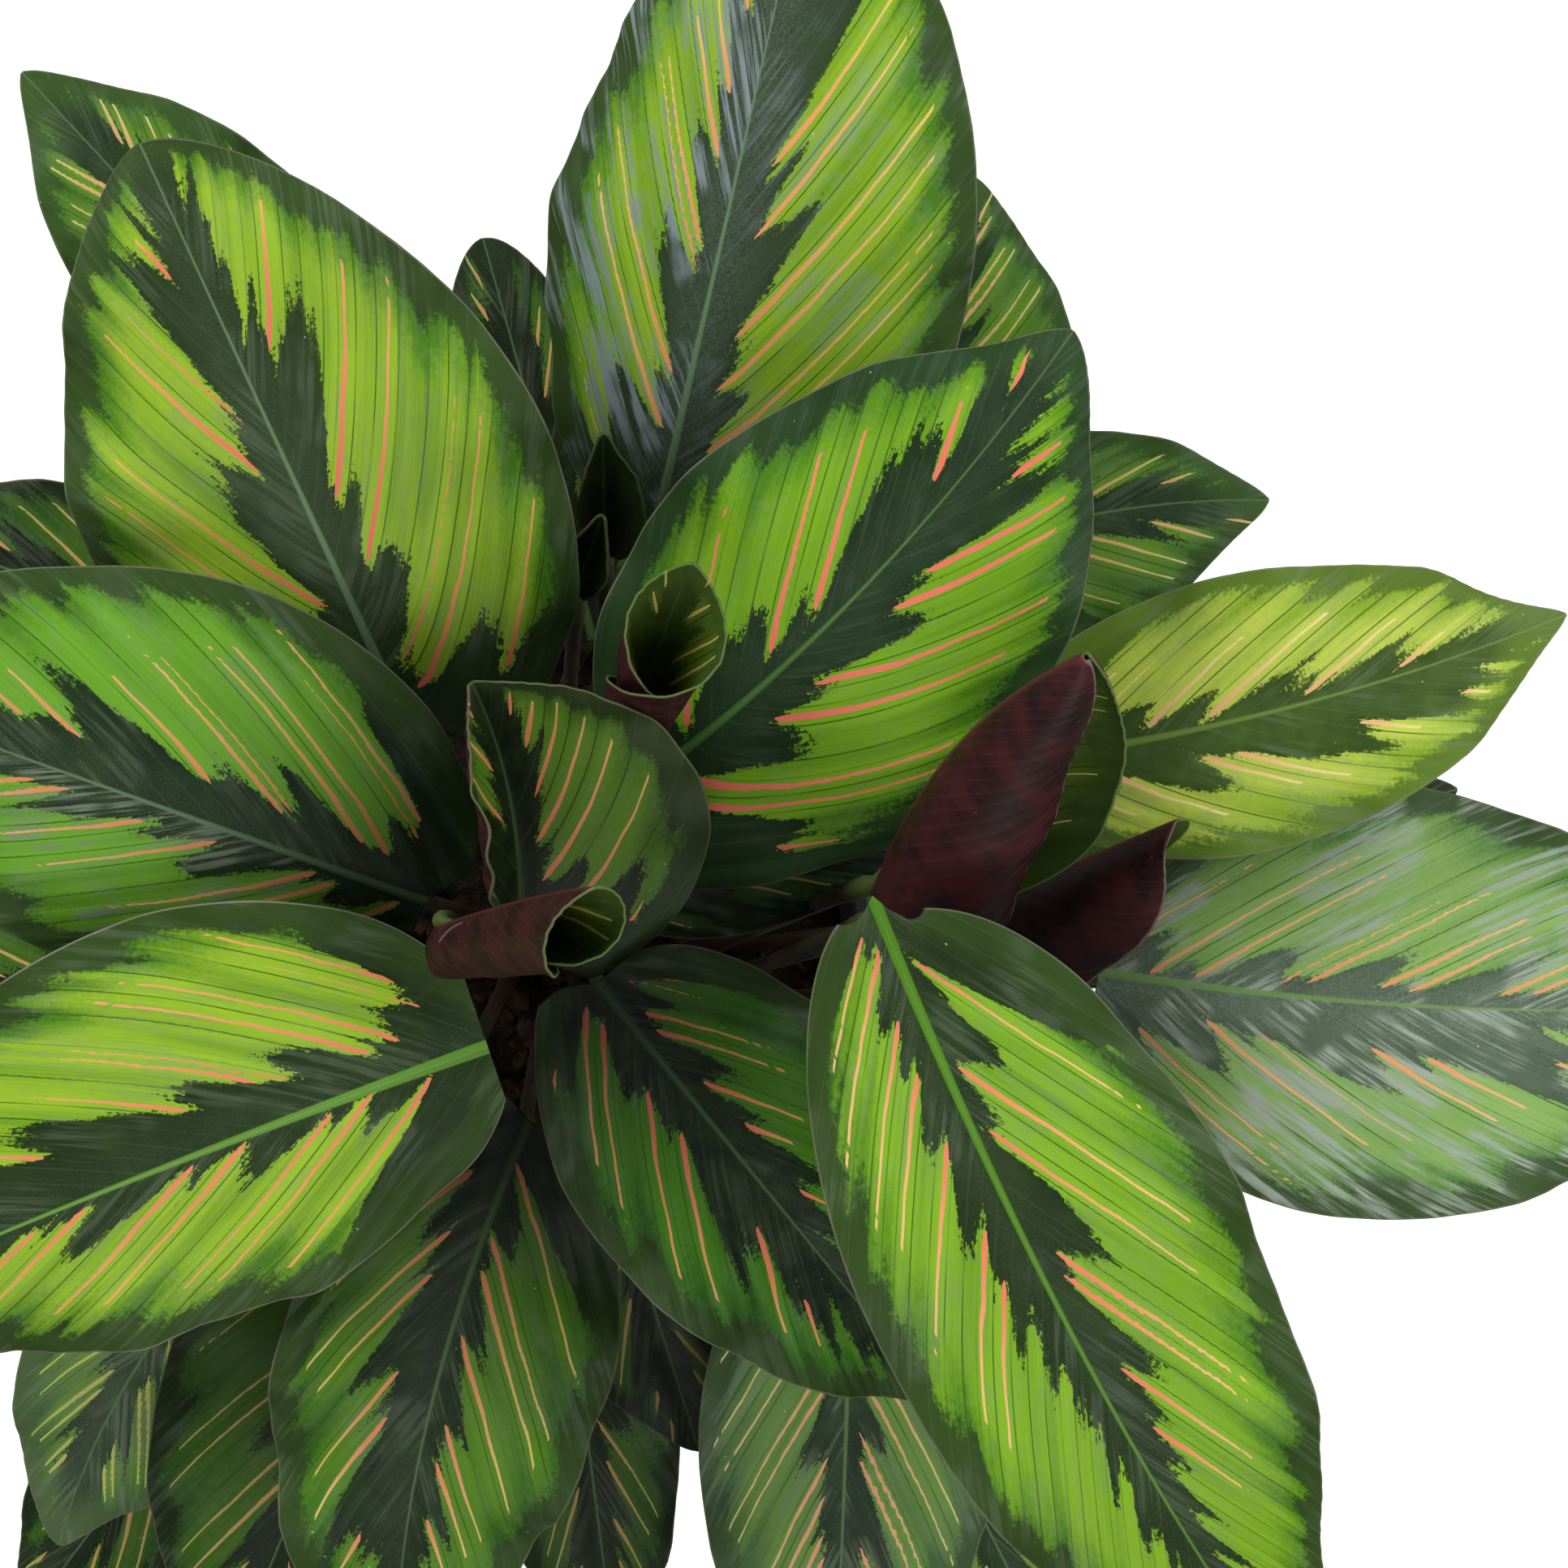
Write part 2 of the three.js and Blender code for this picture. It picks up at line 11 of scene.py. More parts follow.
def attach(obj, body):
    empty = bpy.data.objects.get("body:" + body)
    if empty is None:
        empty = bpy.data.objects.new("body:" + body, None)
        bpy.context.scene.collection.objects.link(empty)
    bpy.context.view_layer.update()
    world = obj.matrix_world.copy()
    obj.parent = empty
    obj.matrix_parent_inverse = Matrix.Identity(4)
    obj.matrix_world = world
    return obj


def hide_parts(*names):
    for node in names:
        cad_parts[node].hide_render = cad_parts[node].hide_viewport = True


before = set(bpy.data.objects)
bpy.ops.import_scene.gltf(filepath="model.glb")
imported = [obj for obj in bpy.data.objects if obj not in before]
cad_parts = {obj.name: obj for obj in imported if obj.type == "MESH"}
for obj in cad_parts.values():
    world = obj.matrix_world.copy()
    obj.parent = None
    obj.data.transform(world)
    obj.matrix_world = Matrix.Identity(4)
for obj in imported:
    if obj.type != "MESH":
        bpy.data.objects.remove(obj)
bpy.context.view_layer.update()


# Studio
# A plain pale floor under wide soft lamps. The camera hangs over the pot and looks down on the
# crown of leaves, with north at the top of the picture.
PHOTO_SIDE = 1932
FOCAL_PIXELS = 4950
SENSOR_MM = 36
CAMERA_PLACE = Vector((0, 0, 1.24))
CAMERA_AIM = Vector((0.052, 0.0335, 0.34))
FLOOR_SIZE = 12


def paint(red, green, blue):
    """A colour given by its three screen values, from 0 to 255, as Blender's own linear one."""
    shares = [value / 255 for value in (red, green, blue)]
    linear = [s / 12.92 if s <= 0.04045 else ((s + 0.055) / 1.055) ** 2.4 for s in shares]
    return (*linear, 1)


def put(tree, kind, **settings):
    """A new node of that kind, with its settings."""
    node = tree.nodes.new(kind)
    for name, value in settings.items():
        setattr(node, name, value)
    return node


def feed(socket, value):
    """Links a socket to another one, or sets it to a plain value."""
    if isinstance(value, bpy.types.NodeSocket):
        socket.id_data.links.new(value, socket)
    else:
        socket.default_value = value


def aim_camera():
    bpy.ops.object.camera_add(location=CAMERA_PLACE)
    camera = bpy.context.object
    ahead = (CAMERA_AIM - CAMERA_PLACE).normalized()
    right = ahead.cross(Vector((0, 1, 0))).normalized()
    upward = right.cross(ahead)
    turn = Matrix((right, upward, -ahead)).transposed()
    camera.matrix_world = Matrix.Translation(CAMERA_PLACE) @ turn.to_4x4()
    camera.data.sensor_width = SENSOR_MM
    camera.data.lens = FOCAL_PIXELS * SENSOR_MM / PHOTO_SIDE
    bpy.context.scene.camera = camera


def hang_lamp(place, width, watts):
    """A square soft lamp that faces the leaves."""
    bpy.ops.object.light_add(type="AREA", location=place)
    lamp = bpy.context.object
    lamp.data.size = width
    lamp.data.energy = watts
    lamp.rotation_euler = (CAMERA_AIM - Vector(place)).to_track_quat("-Z", "Y").to_euler()


def lay_floor():
    bpy.ops.mesh.primitive_plane_add(size=FLOOR_SIZE)
    floor = bpy.context.object
    floor.name = "floor"
    look = bpy.data.materials.new("pale floor")
    look.use_nodes = True
    shader = look.node_tree.nodes["Principled BSDF"]
    feed(shader.inputs["Base Color"], paint(120, 120, 121))
    feed(shader.inputs["Roughness"], 0.9)
    feed(shader.inputs["Emission Color"], paint(255, 255, 255))
    seen = put(look.node_tree, "ShaderNodeLightPath").outputs["Is Camera Ray"]
    feed(shader.inputs["Emission Strength"], seen)
    floor.data.materials.append(look)


def soft_sky():
    """Weak light from all around, in front of a white that only the camera sees."""
    sky = bpy.data.worlds.new("soft daylight")
    sky.use_nodes = True
    tree = sky.node_tree
    light = tree.nodes["Background"]
    feed(light.inputs["Color"], (0.98, 1, 0.97, 1))
    feed(light.inputs["Strength"], 0.26)
    white = put(tree, "ShaderNodeBackground")
    feed(white.inputs["Color"], paint(255, 255, 255))
    both = put(tree, "ShaderNodeMixShader")
    feed(both.inputs[0], put(tree, "ShaderNodeLightPath").outputs["Is Camera Ray"])
    tree.links.new(light.outputs[0], both.inputs[1])
    tree.links.new(white.outputs[0], both.inputs[2])
    tree.links.new(both.outputs[0], tree.nodes["World Output"].inputs["Surface"])
    return sky


bpy.ops.object.select_all(action="DESELECT")
aim_camera()
lay_floor()
hang_lamp((-1.1, 1.1, 1.5), 1.4, 29)
hang_lamp((1.3, 0.5, 1.4), 1.3, 18.5)
hang_lamp((0.1, -1.4, 1.4), 1.3, 13)
bpy.context.scene.world = soft_sky()
bpy.context.scene.view_settings.view_transform = "Standard"


# Pot
# A plain dark nursery pot, blown or moulded in one piece of matte plastic: a tapered wall, a
# turned-over rim to lift it by, two moulding lines and six drainage holes in its floor.
POT_HEIGHT = 0.150
POT_TOP_RADIUS = 0.084
POT_BASE_RADIUS = 0.063
POT_WALL = 0.002
RIM_REACH = 0.004
RIM_HEIGHT = 0.011
POT_SIDES = 96
DRAIN_COUNT = 6
DRAIN_RADIUS = 0.0055
DRAIN_CIRCLE = 0.040


def tree_of(values):
    """The node tree that the sockets among the values belong to."""
    return next(value.id_data for value in values if isinstance(value, bpy.types.NodeSocket))


def calc(operation, *values, clamp=False):
    """One step of arithmetic. Each value is a number or a socket."""
    node = put(tree_of(values), "ShaderNodeMath", operation=operation, use_clamp=clamp)
    for socket, value in zip(node.inputs, values):
        feed(socket, value)
    return node.outputs[0]


def plus(*values):
    return functools.reduce(lambda first, second: calc("ADD", first, second), values)


def times(*values):
    return functools.reduce(lambda first, second: calc("MULTIPLY", first, second), values)


def less(first, second):
    return calc("SUBTRACT", first, second)


def ease(value, low, high):
    """0 below low and 1 above high, with a soft step between them."""
    node = put(value.id_data, "ShaderNodeMapRange", interpolation_type="SMOOTHSTEP")
    feed(node.inputs["Value"], value)
    feed(node.inputs["From Min"], low)
    feed(node.inputs["From Max"], high)
    return node.outputs["Result"]


def tint(share, first, second):
    """The first colour turned into the second one by that share."""
    node = put(tree_of((share, first, second)), "ShaderNodeMix", data_type="RGBA")
    feed(node.inputs[0], share)
    feed(node.inputs[6], first)
    feed(node.inputs[7], second)
    return node.outputs[2]


def clouds(place, scale, detail=2.0, roughness=0.5):
    """Soft noise around 0.5 at a place."""
    node = put(place.id_data, "ShaderNodeTexNoise")
    feed(node.inputs["Vector"], place)
    feed(node.inputs["Scale"], scale)
    feed(node.inputs["Detail"], detail)
    feed(node.inputs["Roughness"], roughness)
    return node.outputs["Fac"]


def new_material(name):
    """A material and its node tree."""
    look = bpy.data.materials.new(name)
    look.use_nodes = True
    return look, look.node_tree


def object_place(tree):
    return put(tree, "ShaderNodeTexCoord").outputs["Object"]


def dress(look, color, roughness, gloss, height, strength, depth):
    """Gives a material its colour, roughness and gloss, and raises it a little where the height
    is high."""
    tree = look.node_tree
    shader = tree.nodes["Principled BSDF"]
    feed(shader.inputs["Base Color"], color)
    feed(shader.inputs["Roughness"], roughness)
    feed(shader.inputs["Specular IOR Level"], gloss)
    bump = put(tree, "ShaderNodeBump")
    feed(bump.inputs["Strength"], strength)
    feed(bump.inputs["Distance"], depth)
    feed(bump.inputs["Height"], height)
    feed(shader.inputs["Normal"], bump.outputs["Normal"])
    return look


def pot_plastic():
    look, tree = new_material("pot plastic")
    place = object_place(tree)
    grain = clouds(place, 900, 3)
    scuff = ease(clouds(place, 38, 5, 0.65), 0.56, 0.74)
    height = put(tree, "ShaderNodeSeparateXYZ")
    feed(height.inputs[0], place)
    dust = ease(height.outputs["Z"], 0.05, -0.01)
    plain = tint(grain, paint(34, 35, 36), paint(44, 45, 46))
    scuffed = tint(times(scuff, 0.45), plain, paint(92, 91, 88))
    color = tint(times(dust, 0.3), scuffed, paint(104, 92, 76))
    return dress(look, color, plus(0.5, times(scuff, 0.2)), 0.5, grain, 0.25, 0.0003)


def wall_radius(z):
    return POT_BASE_RADIUS + (POT_TOP_RADIUS - POT_BASE_RADIUS) * z / POT_HEIGHT


def draw_ring(radius, z, from_z):
    """Draws the open edge out into a new ring of that radius and height."""
    bpy.ops.mesh.extrude_region_move(TRANSFORM_OT_translate={"value": (0, 0, z - from_z)})
    mesh = bpy.context.edit_object.data
    mesh.update()
    bpy.context.edit_object.update_from_editmode()
    now = max(math.hypot(v.co.x, v.co.y) for v in mesh.vertices if v.select)
    share = radius / now
    bpy.ops.transform.resize(value=(share, share, 1), center_override=(0, 0, z))


def start_edit(action):
    """Opens the active piece for editing, with all of it selected or none."""
    bpy.ops.object.mode_set(mode="EDIT")
    bpy.ops.mesh.select_all(action=action)


def close_solid():
    """Fills the selected ring, turns every face outward and ends the editing."""
    bpy.ops.mesh.edge_face_add()
    bpy.ops.mesh.select_all(action="SELECT")
    bpy.ops.mesh.normals_make_consistent(inside=False)
    bpy.ops.object.mode_set(mode="OBJECT")


def make_pot():
    rim_foot = POT_HEIGHT - RIM_HEIGHT
    groove = 0.0005
    line = 0.0012
    outside = [(POT_BASE_RADIUS - 0.0004, 0.0004), (POT_BASE_RADIUS, 0.0015)]
    for z in (0.012, 0.112):
        outside += [
            (wall_radius(z), z),
            (wall_radius(z) - groove, z + line / 2),
            (wall_radius(z), z + line),
        ]
    edge = POT_TOP_RADIUS + RIM_REACH
    rim = [
        (wall_radius(rim_foot), rim_foot),
        (edge - 0.0016, rim_foot + 0.0003),
        (edge - 0.0004, rim_foot + 0.0012),
        (edge, POT_HEIGHT - 0.0026),
        (edge - 0.0006, POT_HEIGHT - 0.0009),
        (edge - 0.0020, POT_HEIGHT),
        (POT_TOP_RADIUS - POT_WALL + 0.0010, POT_HEIGHT),
        (POT_TOP_RADIUS - POT_WALL, POT_HEIGHT - 0.0010),
    ]
    inside = [
        (wall_radius(0.06) - POT_WALL, 0.06),
        (POT_BASE_RADIUS - POT_WALL, POT_WALL + 0.0015),
        (POT_BASE_RADIUS - POT_WALL - 0.0015, POT_WALL),
    ]
    bpy.ops.object.select_all(action="DESELECT")
    bpy.ops.mesh.primitive_circle_add(
        vertices=POT_SIDES, radius=POT_BASE_RADIUS - 0.0016, fill_type="NGON")
    pot = bpy.context.object
    pot.name = "nursery_pot"
    start_edit("SELECT")
    bpy.ops.mesh.delete(type="ONLY_FACE")
    bpy.ops.mesh.select_all(action="SELECT")
    last = 0
    for radius, z in [*outside, *rim, *inside]:
        draw_ring(radius, z, last)
        last = z
    bpy.ops.mesh.edge_face_add()
    bpy.ops.mesh.select_all(action="DESELECT")
    bpy.ops.object.mode_set(mode="OBJECT")
    for vertex in pot.data.vertices:
        vertex.select = vertex.co.z < 1e-6
    bpy.ops.object.mode_set(mode="EDIT")
    bpy.ops.mesh.select_mode(type="VERT")
    close_solid()
    return pot


def drill_pot(pot):
    for k in range(DRAIN_COUNT):
        angle = 2 * math.pi * k / DRAIN_COUNT
        place = (DRAIN_CIRCLE * math.cos(angle), DRAIN_CIRCLE * math.sin(angle), 0)
        bpy.ops.mesh.primitive_cylinder_add(
            vertices=24, radius=DRAIN_RADIUS, depth=4 * POT_WALL, location=place)
        drill = bpy.context.object
        cut = pot.modifiers.new("hole", "BOOLEAN")
        cut.object = drill
        cut.solver = "EXACT"
        bpy.context.view_layer.objects.active = pot
        bpy.ops.object.modifier_apply(modifier=cut.name)
        bpy.data.objects.remove(drill)


def hold(piece, *others):
    """Selects these pieces alone, with the first one active."""
    bpy.ops.object.select_all(action="DESELECT")
    for each in (piece, *others):
        each.select_set(True)
    bpy.context.view_layer.objects.active = piece


def settle(piece, node):
    """Gives a finished piece its place on the frame."""
    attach(piece, "root")
    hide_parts(node)


pot = make_pot()
drill_pot(pot)
pot.data.shade_smooth()
hold(pot)
bpy.ops.object.shade_smooth_by_angle(angle=math.radians(32))
pot.data.materials.append(pot_plastic())
settle(pot, "pot")


# Soil
# Dark damp peat with bark, filled to just under the rim. Its top is lumpy, and chips of bark
# lie on it between the stalks.
SOIL_TOP = 0.133
SOIL_CROWN = 0.004
SOIL_LUMP = 0.0012
SOIL_GAP = 0.0007
SOIL_CELLS = 150
CHIP_COUNT = 420
CHIP_REACH = 0.074
CHIP_LIFT = 0.0012
EARTH_GLOSS = 0.15


def soil_height(x, y):
    """The soil's height in metres at a place, with the frame's own crown and lumps."""
    reach = math.hypot(x, y) / POT_TOP_RADIUS
    x_mm = x * 1000
    y_mm = y * 1000
    lumps = math.sin(x_mm * 0.21) * math.cos(y_mm * 0.17) + 0.6 * math.sin(x_mm * 0.11 + y_mm * 0.29)
    return SOIL_TOP + SOIL_CROWN * (1 - reach * reach) + SOIL_LUMP * lumps


def damp_soil():
    look, tree = new_material("damp peat")
    place = object_place(tree)
    crumb = clouds(place, 420, 4, 0.62)
    patch = clouds(place, 45, 3)
    dark = tint(patch, paint(20, 15, 11), paint(34, 26, 19))
    color = tint(ease(crumb, 0.5, 0.75), dark, paint(60, 46, 34))
    return dress(look, color, plus(0.72, times(patch, 0.25)), EARTH_GLOSS, crumb, 0.8, 0.0015)


def bark():
    look, tree = new_material("bark")
    place = object_place(tree)
    grain = clouds(place, 260, 3, 0.6)
    patch = clouds(place, 90, 2)
    brown = tint(patch, paint(38, 27, 19), paint(66, 47, 33))
    color = tint(ease(grain, 0.45, 0.62), brown, paint(28, 20, 15))
    return dress(look, color, 0.8, EARTH_GLOSS, grain, 0.6, 0.0008)


def place_vertices(mesh, points):
    mesh.vertices.foreach_set("co", np.asarray(points, np.float32).ravel())
    mesh.update()


def vertex_array(mesh):
    flat = np.zeros(len(mesh.vertices) * 3, np.float32)
    mesh.vertices.foreach_get("co", flat)
    return flat.reshape(-1, 3).astype(float)


def make_soil():
    bpy.ops.object.select_all(action="DESELECT")
    bpy.ops.mesh.primitive_grid_add(x_subdivisions=SOIL_CELLS, y_subdivisions=SOIL_CELLS, size=2)
    soil = bpy.context.object
    soil.name = "soil_bed"
    square = vertex_array(soil.data)
    radius = wall_radius(SOIL_TOP) - POT_WALL - SOIL_GAP
    x = square[:, 0] * np.sqrt(1 - square[:, 1] ** 2 / 2) * radius
    y = square[:, 1] * np.sqrt(1 - square[:, 0] ** 2 / 2) * radius
    points = []
    for px, py in zip(x, y):
        calm = 1 - (math.hypot(px, py) / radius) ** 6
        here = Vector((px, py, 0))
        lump = noise.fractal(here * 90, 0.9, 2.1, 4) * 0.0016
        crumb = abs(noise.noise(here * 520)) * 0.0011
        points.append((px, py, soil_height(px, py) + (lump + crumb) * calm))
    place_vertices(soil.data, points)
    start_edit("DESELECT")
    bpy.ops.mesh.select_mode(type="EDGE")
    bpy.ops.mesh.select_non_manifold()
    bpy.ops.mesh.extrude_region_move()
    floor = POT_WALL + SOIL_GAP
    share = (wall_radius(floor) - POT_WALL - 2 * SOIL_GAP) / radius
    bpy.ops.transform.resize(value=(share, share, 0), center_override=(0, 0, floor))
    close_solid()
    soil.data.shade_smooth()
    return soil


def make_chips():
    """Bark chips: one bevelled sliver, copied at seeded sizes, turns and places."""
    draw = random.Random(11)
    bpy.ops.object.select_all(action="DESELECT")
    bpy.ops.mesh.primitive_cube_add(size=1)
    sliver = bpy.context.object
    start_edit("SELECT")
    bpy.ops.mesh.bevel(offset=0.18, segments=1, affect="EDGES")
    bpy.ops.object.mode_set(mode="OBJECT")
    chips = []
    for _ in range(CHIP_COUNT):
        chip = sliver.copy()
        chip.data = sliver.data.copy()
        bpy.context.collection.objects.link(chip)
        reach = CHIP_REACH * math.sqrt(draw.random())
        angle = draw.uniform(0, 2 * math.pi)
        x = reach * math.cos(angle)
        y = reach * math.sin(angle)
        length = draw.uniform(0.002, 0.0085)
        size = Vector((length, length * draw.uniform(0.35, 0.8), length * draw.uniform(0.2, 0.45)))
        for vertex in chip.data.vertices:
            vertex.co = Vector(a * b for a, b in zip(vertex.co, size)) * draw.uniform(0.85, 1.15)
        chip.location = (x, y, soil_height(x, y) + CHIP_LIFT)
        chip.rotation_euler = [draw.gauss(0, 0.4), draw.gauss(0, 0.4), draw.uniform(0, 6.28)]
        chips.append(chip)
    bpy.data.objects.remove(sliver)
    hold(*chips)
    bpy.ops.object.join()
    heap = bpy.context.object
    heap.name = "bark_chips"
    bpy.ops.object.transform_apply(location=True, rotation=True, scale=True)
    return heap


soil = make_soil()
soil.data.materials.append(damp_soil())
settle(soil, "soil")
chips = make_chips()
chips.data.materials.append(bark())
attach(chips, "root")


# Tall leaves
# The ten broad leaves of the crown, each one piece of plant: a stalk with a clasping sheath at
# its foot and a swollen joint at its top, and a thin waved blade with painted pinstripes.
MM = 0.001
BLADE_MM = 0.5
STALK_STEPS = 40
STALK_RADIUS = 1.8
SHEATH_RADIUS = 3.1
JOINT_RADIUS = 2.5
JOINT_SHARE = 0.02
JOINT_DROP = 2.1
# Past its joint the stalk tapers off under the midrib: at shares of the blade's length, so many
# mm below it and so thick.
TAIL_SHARES = (0.035, 0.06, 0.09)
TAIL_DROPS = (1.4, 1.0, 0.6)
TAIL_RADII = (1.3, 0.9, 0.4)
ROOT_DEPTH = 12
COLLAR = 4
TIP_HALF_WIDTH = 0.5
BASE_SHARE = 0.3
LOBE_WIDENS = 0.55
WIDEST = 0.76
POINT_FROM = 0.75
LOBE_SWING = 2.2
CALM_WIDTH = 15
WAVE_LEAD = 2.1
STALK_STRAIGHT = 0.45
STALK_BEND = 0.35
STALK_INWARD = 0.25
# A side vein leaves the midrib, runs forward by these shares of its way outward, and runs more
# forward the nearer it starts to the tip.
VEIN_FORWARD = 0.95
VEIN_FAN = 2.2
VEIN_CURVE = 0.5
END_GAP = 14
UNSEEN_BASE = 40
UNSEEN_TIP = 4
PANEL_MM = 6.5
STRIPE_WIDTHS = (0.85, 1.15)
THIN_STRIPE = 0.4
BEHIND_BASE = 1.6
# Pinstripes set by seed: where the first pair may start in mm, the share of the length that they
# reach, and the shares of pair_gap that lie within a pair and between pairs.
FIRST_PAIR = (-14, -4)
PAIRS_REACH = 0.74
WITHIN_PAIR = (0.24, 0.42)
BETWEEN_PAIRS = (0.85, 1.25)
# The blade's relief, in mm: the groove that its midrib lies in, the midrib's own rise, the
# quilting between its side veins, the ripple of its margin and the ridge under its midrib.
GROOVE_MM = 0.55
MIDRIB_MM = 0.5
QUILT_MM = 0.16
VEIN_PITCH = 7.5
RIPPLE_MM = 0.7
RIDGE_MM = 1.15
TALL_CELLS = (72, 154)

# Each leaf's shape is the frame's own, in millimetres: where its stalk leaves the soil, the two
# ends of its blade, and the widths, lobes, folds, cups and waves of its left and right half.
# stripes are where the pinstripes of each half leave the midrib, from the base, and thin names
# the faint ones. begin and end are how far the first and the last one start from the midrib and
# stop from the margin. The base's painted shade says how dark the base is painted and the share
# of the length from where the leaf is painted fully lit, and a painted shade factor darkens all
# of it. pair_gap spaces pinstripes set by seed. full and point say how round a half is and how
# far it draws in toward the tip, and foot is how wide it starts. paint names a low leaf's look.
# A row gives what differs from the plain leaf.
PLAIN_LEAF = dict(
    lobe=(0, 0), arch=8, sway=0, roll=(0, 0), fold=(6, 6), cup=(-10, -10), wave=(2, 3, 0),
    full=0.65, point=0.3, pair_gap=27, begin=((3, 4), (3, 5)), end=((4, 6), (4, 6)),
    thin=((), ()), painted_shade=(0.8, 0.15), painted_shade_factor=1.0, paint="dark",
)
TALL_LEAVES = {
    "leaf_north": dict(root=(18, 37), base=(24, 95, 318), tip=(59, 249, 366), halves=(46, 57),
        lobe=(6, 9), arch=14, fold=(-24, 4), cup=(-16, -8), wave=(1.2, 3, 40),
        stripes=((-6, 18, 29, 53, 57, 75, 87, 104), (-2, 6, 12, 26, 36, 58, 72, 106)),
        thin=((-6, 53), (-2,)), begin=((4, 6), (6, 8)), end=((7, 20), (7, 11)), painted_shade=(0.6, 0.25)),
    "leaf_northeast": dict(root=(14, 12), base=(27, 39, 338), tip=(113, 131, 376), halves=(45, 48),
        lobe=(9, 22), arch=14, sway=-5, fold=(8, 6), cup=(-12, -20), wave=(2.5, 3, 0),
        stripes=((-3, 6, 30, 43, 80, 106), (-16, -4, 1, 19, 29, 49, 58, 80)), thin=((-3,), ()),
        begin=((3, 4), (6, 8)), end=((12, 15), (6, 9))),
    "leaf_northwest": dict(root=(-14, 22), base=(-35, 52, 318), tip=(-89, 170, 374), halves=(50, 56),
        lobe=(4, 20), arch=10, fold=(-4, 10), cup=(-14, -8), wave=(3, 3.5, 120), full=0.6, point=0,
        stripes=((13, 24, 55, 68, 98), (-14, 2, 9, 29, 44, 75)), begin=((5, 6), (4, 8)),
        end=((8, 14), (6, 10)), thin=((68,), (9,)), painted_shade=(0.6, 0.3)),
    "leaf_west": dict(root=(-18, 4), base=(-28, 7, 337), tip=(-170, 58, 346), halves=(42, 52),
        lobe=(0, 7), arch=12, fold=(-14, 8), cup=(-12, -8), wave=(2.5, 3, 200),
        stripes=((3, 17, 23, 43, 57, 76, 82), (-6, -3, 6, 11, 24, 27, 40, 67, 78)), thin=((), (-3, 24)),
        begin=((2, 4), (7, 9)), end=((11, 24), (8, 26)), painted_shade=(0.25, 0.5)),
    "leaf_southwest": dict(root=(-11, -11), base=(-14, -25, 350), tip=(-173, -89, 322), halves=(40, 54),
        arch=10, sway=-2, fold=(-12, 10), cup=(-14, -4), wave=(2.5, 3.5, 80),
        stripes=((11, 26, 34, 54, 66, 91, 103), (-9, -4, 8, 15, 31, 34, 49, 75, 91)),
        thin=((), (-4, 31)), begin=((1, 2), (6, 12)), end=((6, 14), (6, 30)), painted_shade=(0.75, 0.2)),
    "leaf_south_southwest": dict(root=(-3, -26), base=(-5, -42, 338), tip=(-36, -177, 285),
        halves=(38, 37), lobe=(0, 4), arch=12, sway=-7, cup=(-14, -14), wave=(3.5, 4, 0),
        stripes=((8, 24, 31, 46, 64, 73, 88, 100), (-4, -1, 3, 7, 19, 27, 46, 56, 80)),
        thin=((100,), (-4, -1)), begin=((1, 5), (5, 10)), end=((7, 16), (3, 9)), painted_shade=(0.15, 0.7)),
    "leaf_south": dict(root=(8, -6), base=(10, -11, 347), tip=(87, -105, 336), halves=(36, 36),
        lobe=(0, 4), arch=12, fold=(6, 8), cup=(-12, -12), wave=(3, 3.5, 0),
        stripes=((-5, -2, 7, 12, 25, 35, 52), (-11, -1, 4, 17, 27, 50, 63)), thin=((-5, -2), ()),
        begin=((3, 5), (3, 8)), end=((8, 26), (6, 10)), painted_shade=(0.15, 0.7)),
    "leaf_southeast": dict(root=(32, -18), base=(68, 8, 388), tip=(173, -178, 330), halves=(46, 38),
        lobe=(-8, -4), arch=22, sway=-8.5, cup=(-12, -12), wave=(3.5, 3.5, 0),
        stripes=((10, 34, 48, 74, 80, 101, 116), (-2, 6, 18, 28, 42, 60, 69)), begin=((3, 6), (3, 8)),
        end=((8, 18), (6, 12))),
    "leaf_east": dict(root=(46, -18), base=(128, -9, 302), tip=(294, -17, 275), halves=(52, 51),
        arch=10, sway=-4.5, cup=(-8, -8), wave=(2.5, 3, 60),
        stripes=((-9, -4, 10, 20, 38, 43, 60, 68, 90, 97), (-16, -8, -2, 16, 25, 47, 57, 84)),
        thin=((38,), (25,)), begin=((1, 4), (6, 12)), end=((15, 28), (4, 26)), painted_shade=(0.6, 0.25)),
    "leaf_east_northeast": dict(root=(42, 10), base=(114, 41, 312), tip=(235, 74, 322), halves=(33, 31),
        lobe=(8, 6), arch=10, sway=-4, fold=(8, 8), point=0.5,
        stripes=((2, 8, 22, 36, 58, 80), (-6, 0, 9, 26, 32, 56, 76)), thin=((8,), ()),
        begin=((2, 2), (5, 9)), end=((11, 14), (7, 15))),
}


def half_width(leaf, t, side):
    """The width of one half of a blade at shares t of its length."""
    full = leaf["full"]
    widest = leaf["halves"][side]
    foot = BASE_SHARE + LOBE_WIDENS * leaf["lobe"][side] / widest
    if "foot" in leaf:
        foot = leaf["foot"][side]
    start = (math.asin(foot ** (1 / full)) / math.pi) ** (1 / WIDEST)
    turn = np.pi * (start + (1 - start) * t) ** WIDEST
    oval = np.clip(np.sin(turn), 0, 1) ** full
    late = np.clip((t - POINT_FROM) / (1 - POINT_FROM), 0, 1)
    drawn = 1 - leaf["point"] * late * late * (3 - 2 * late)
    return np.maximum(TIP_HALF_WIDTH, widest * oval * drawn)


def unit(vectors):
    return vectors / np.linalg.norm(vectors, axis=-1, keepdims=True)


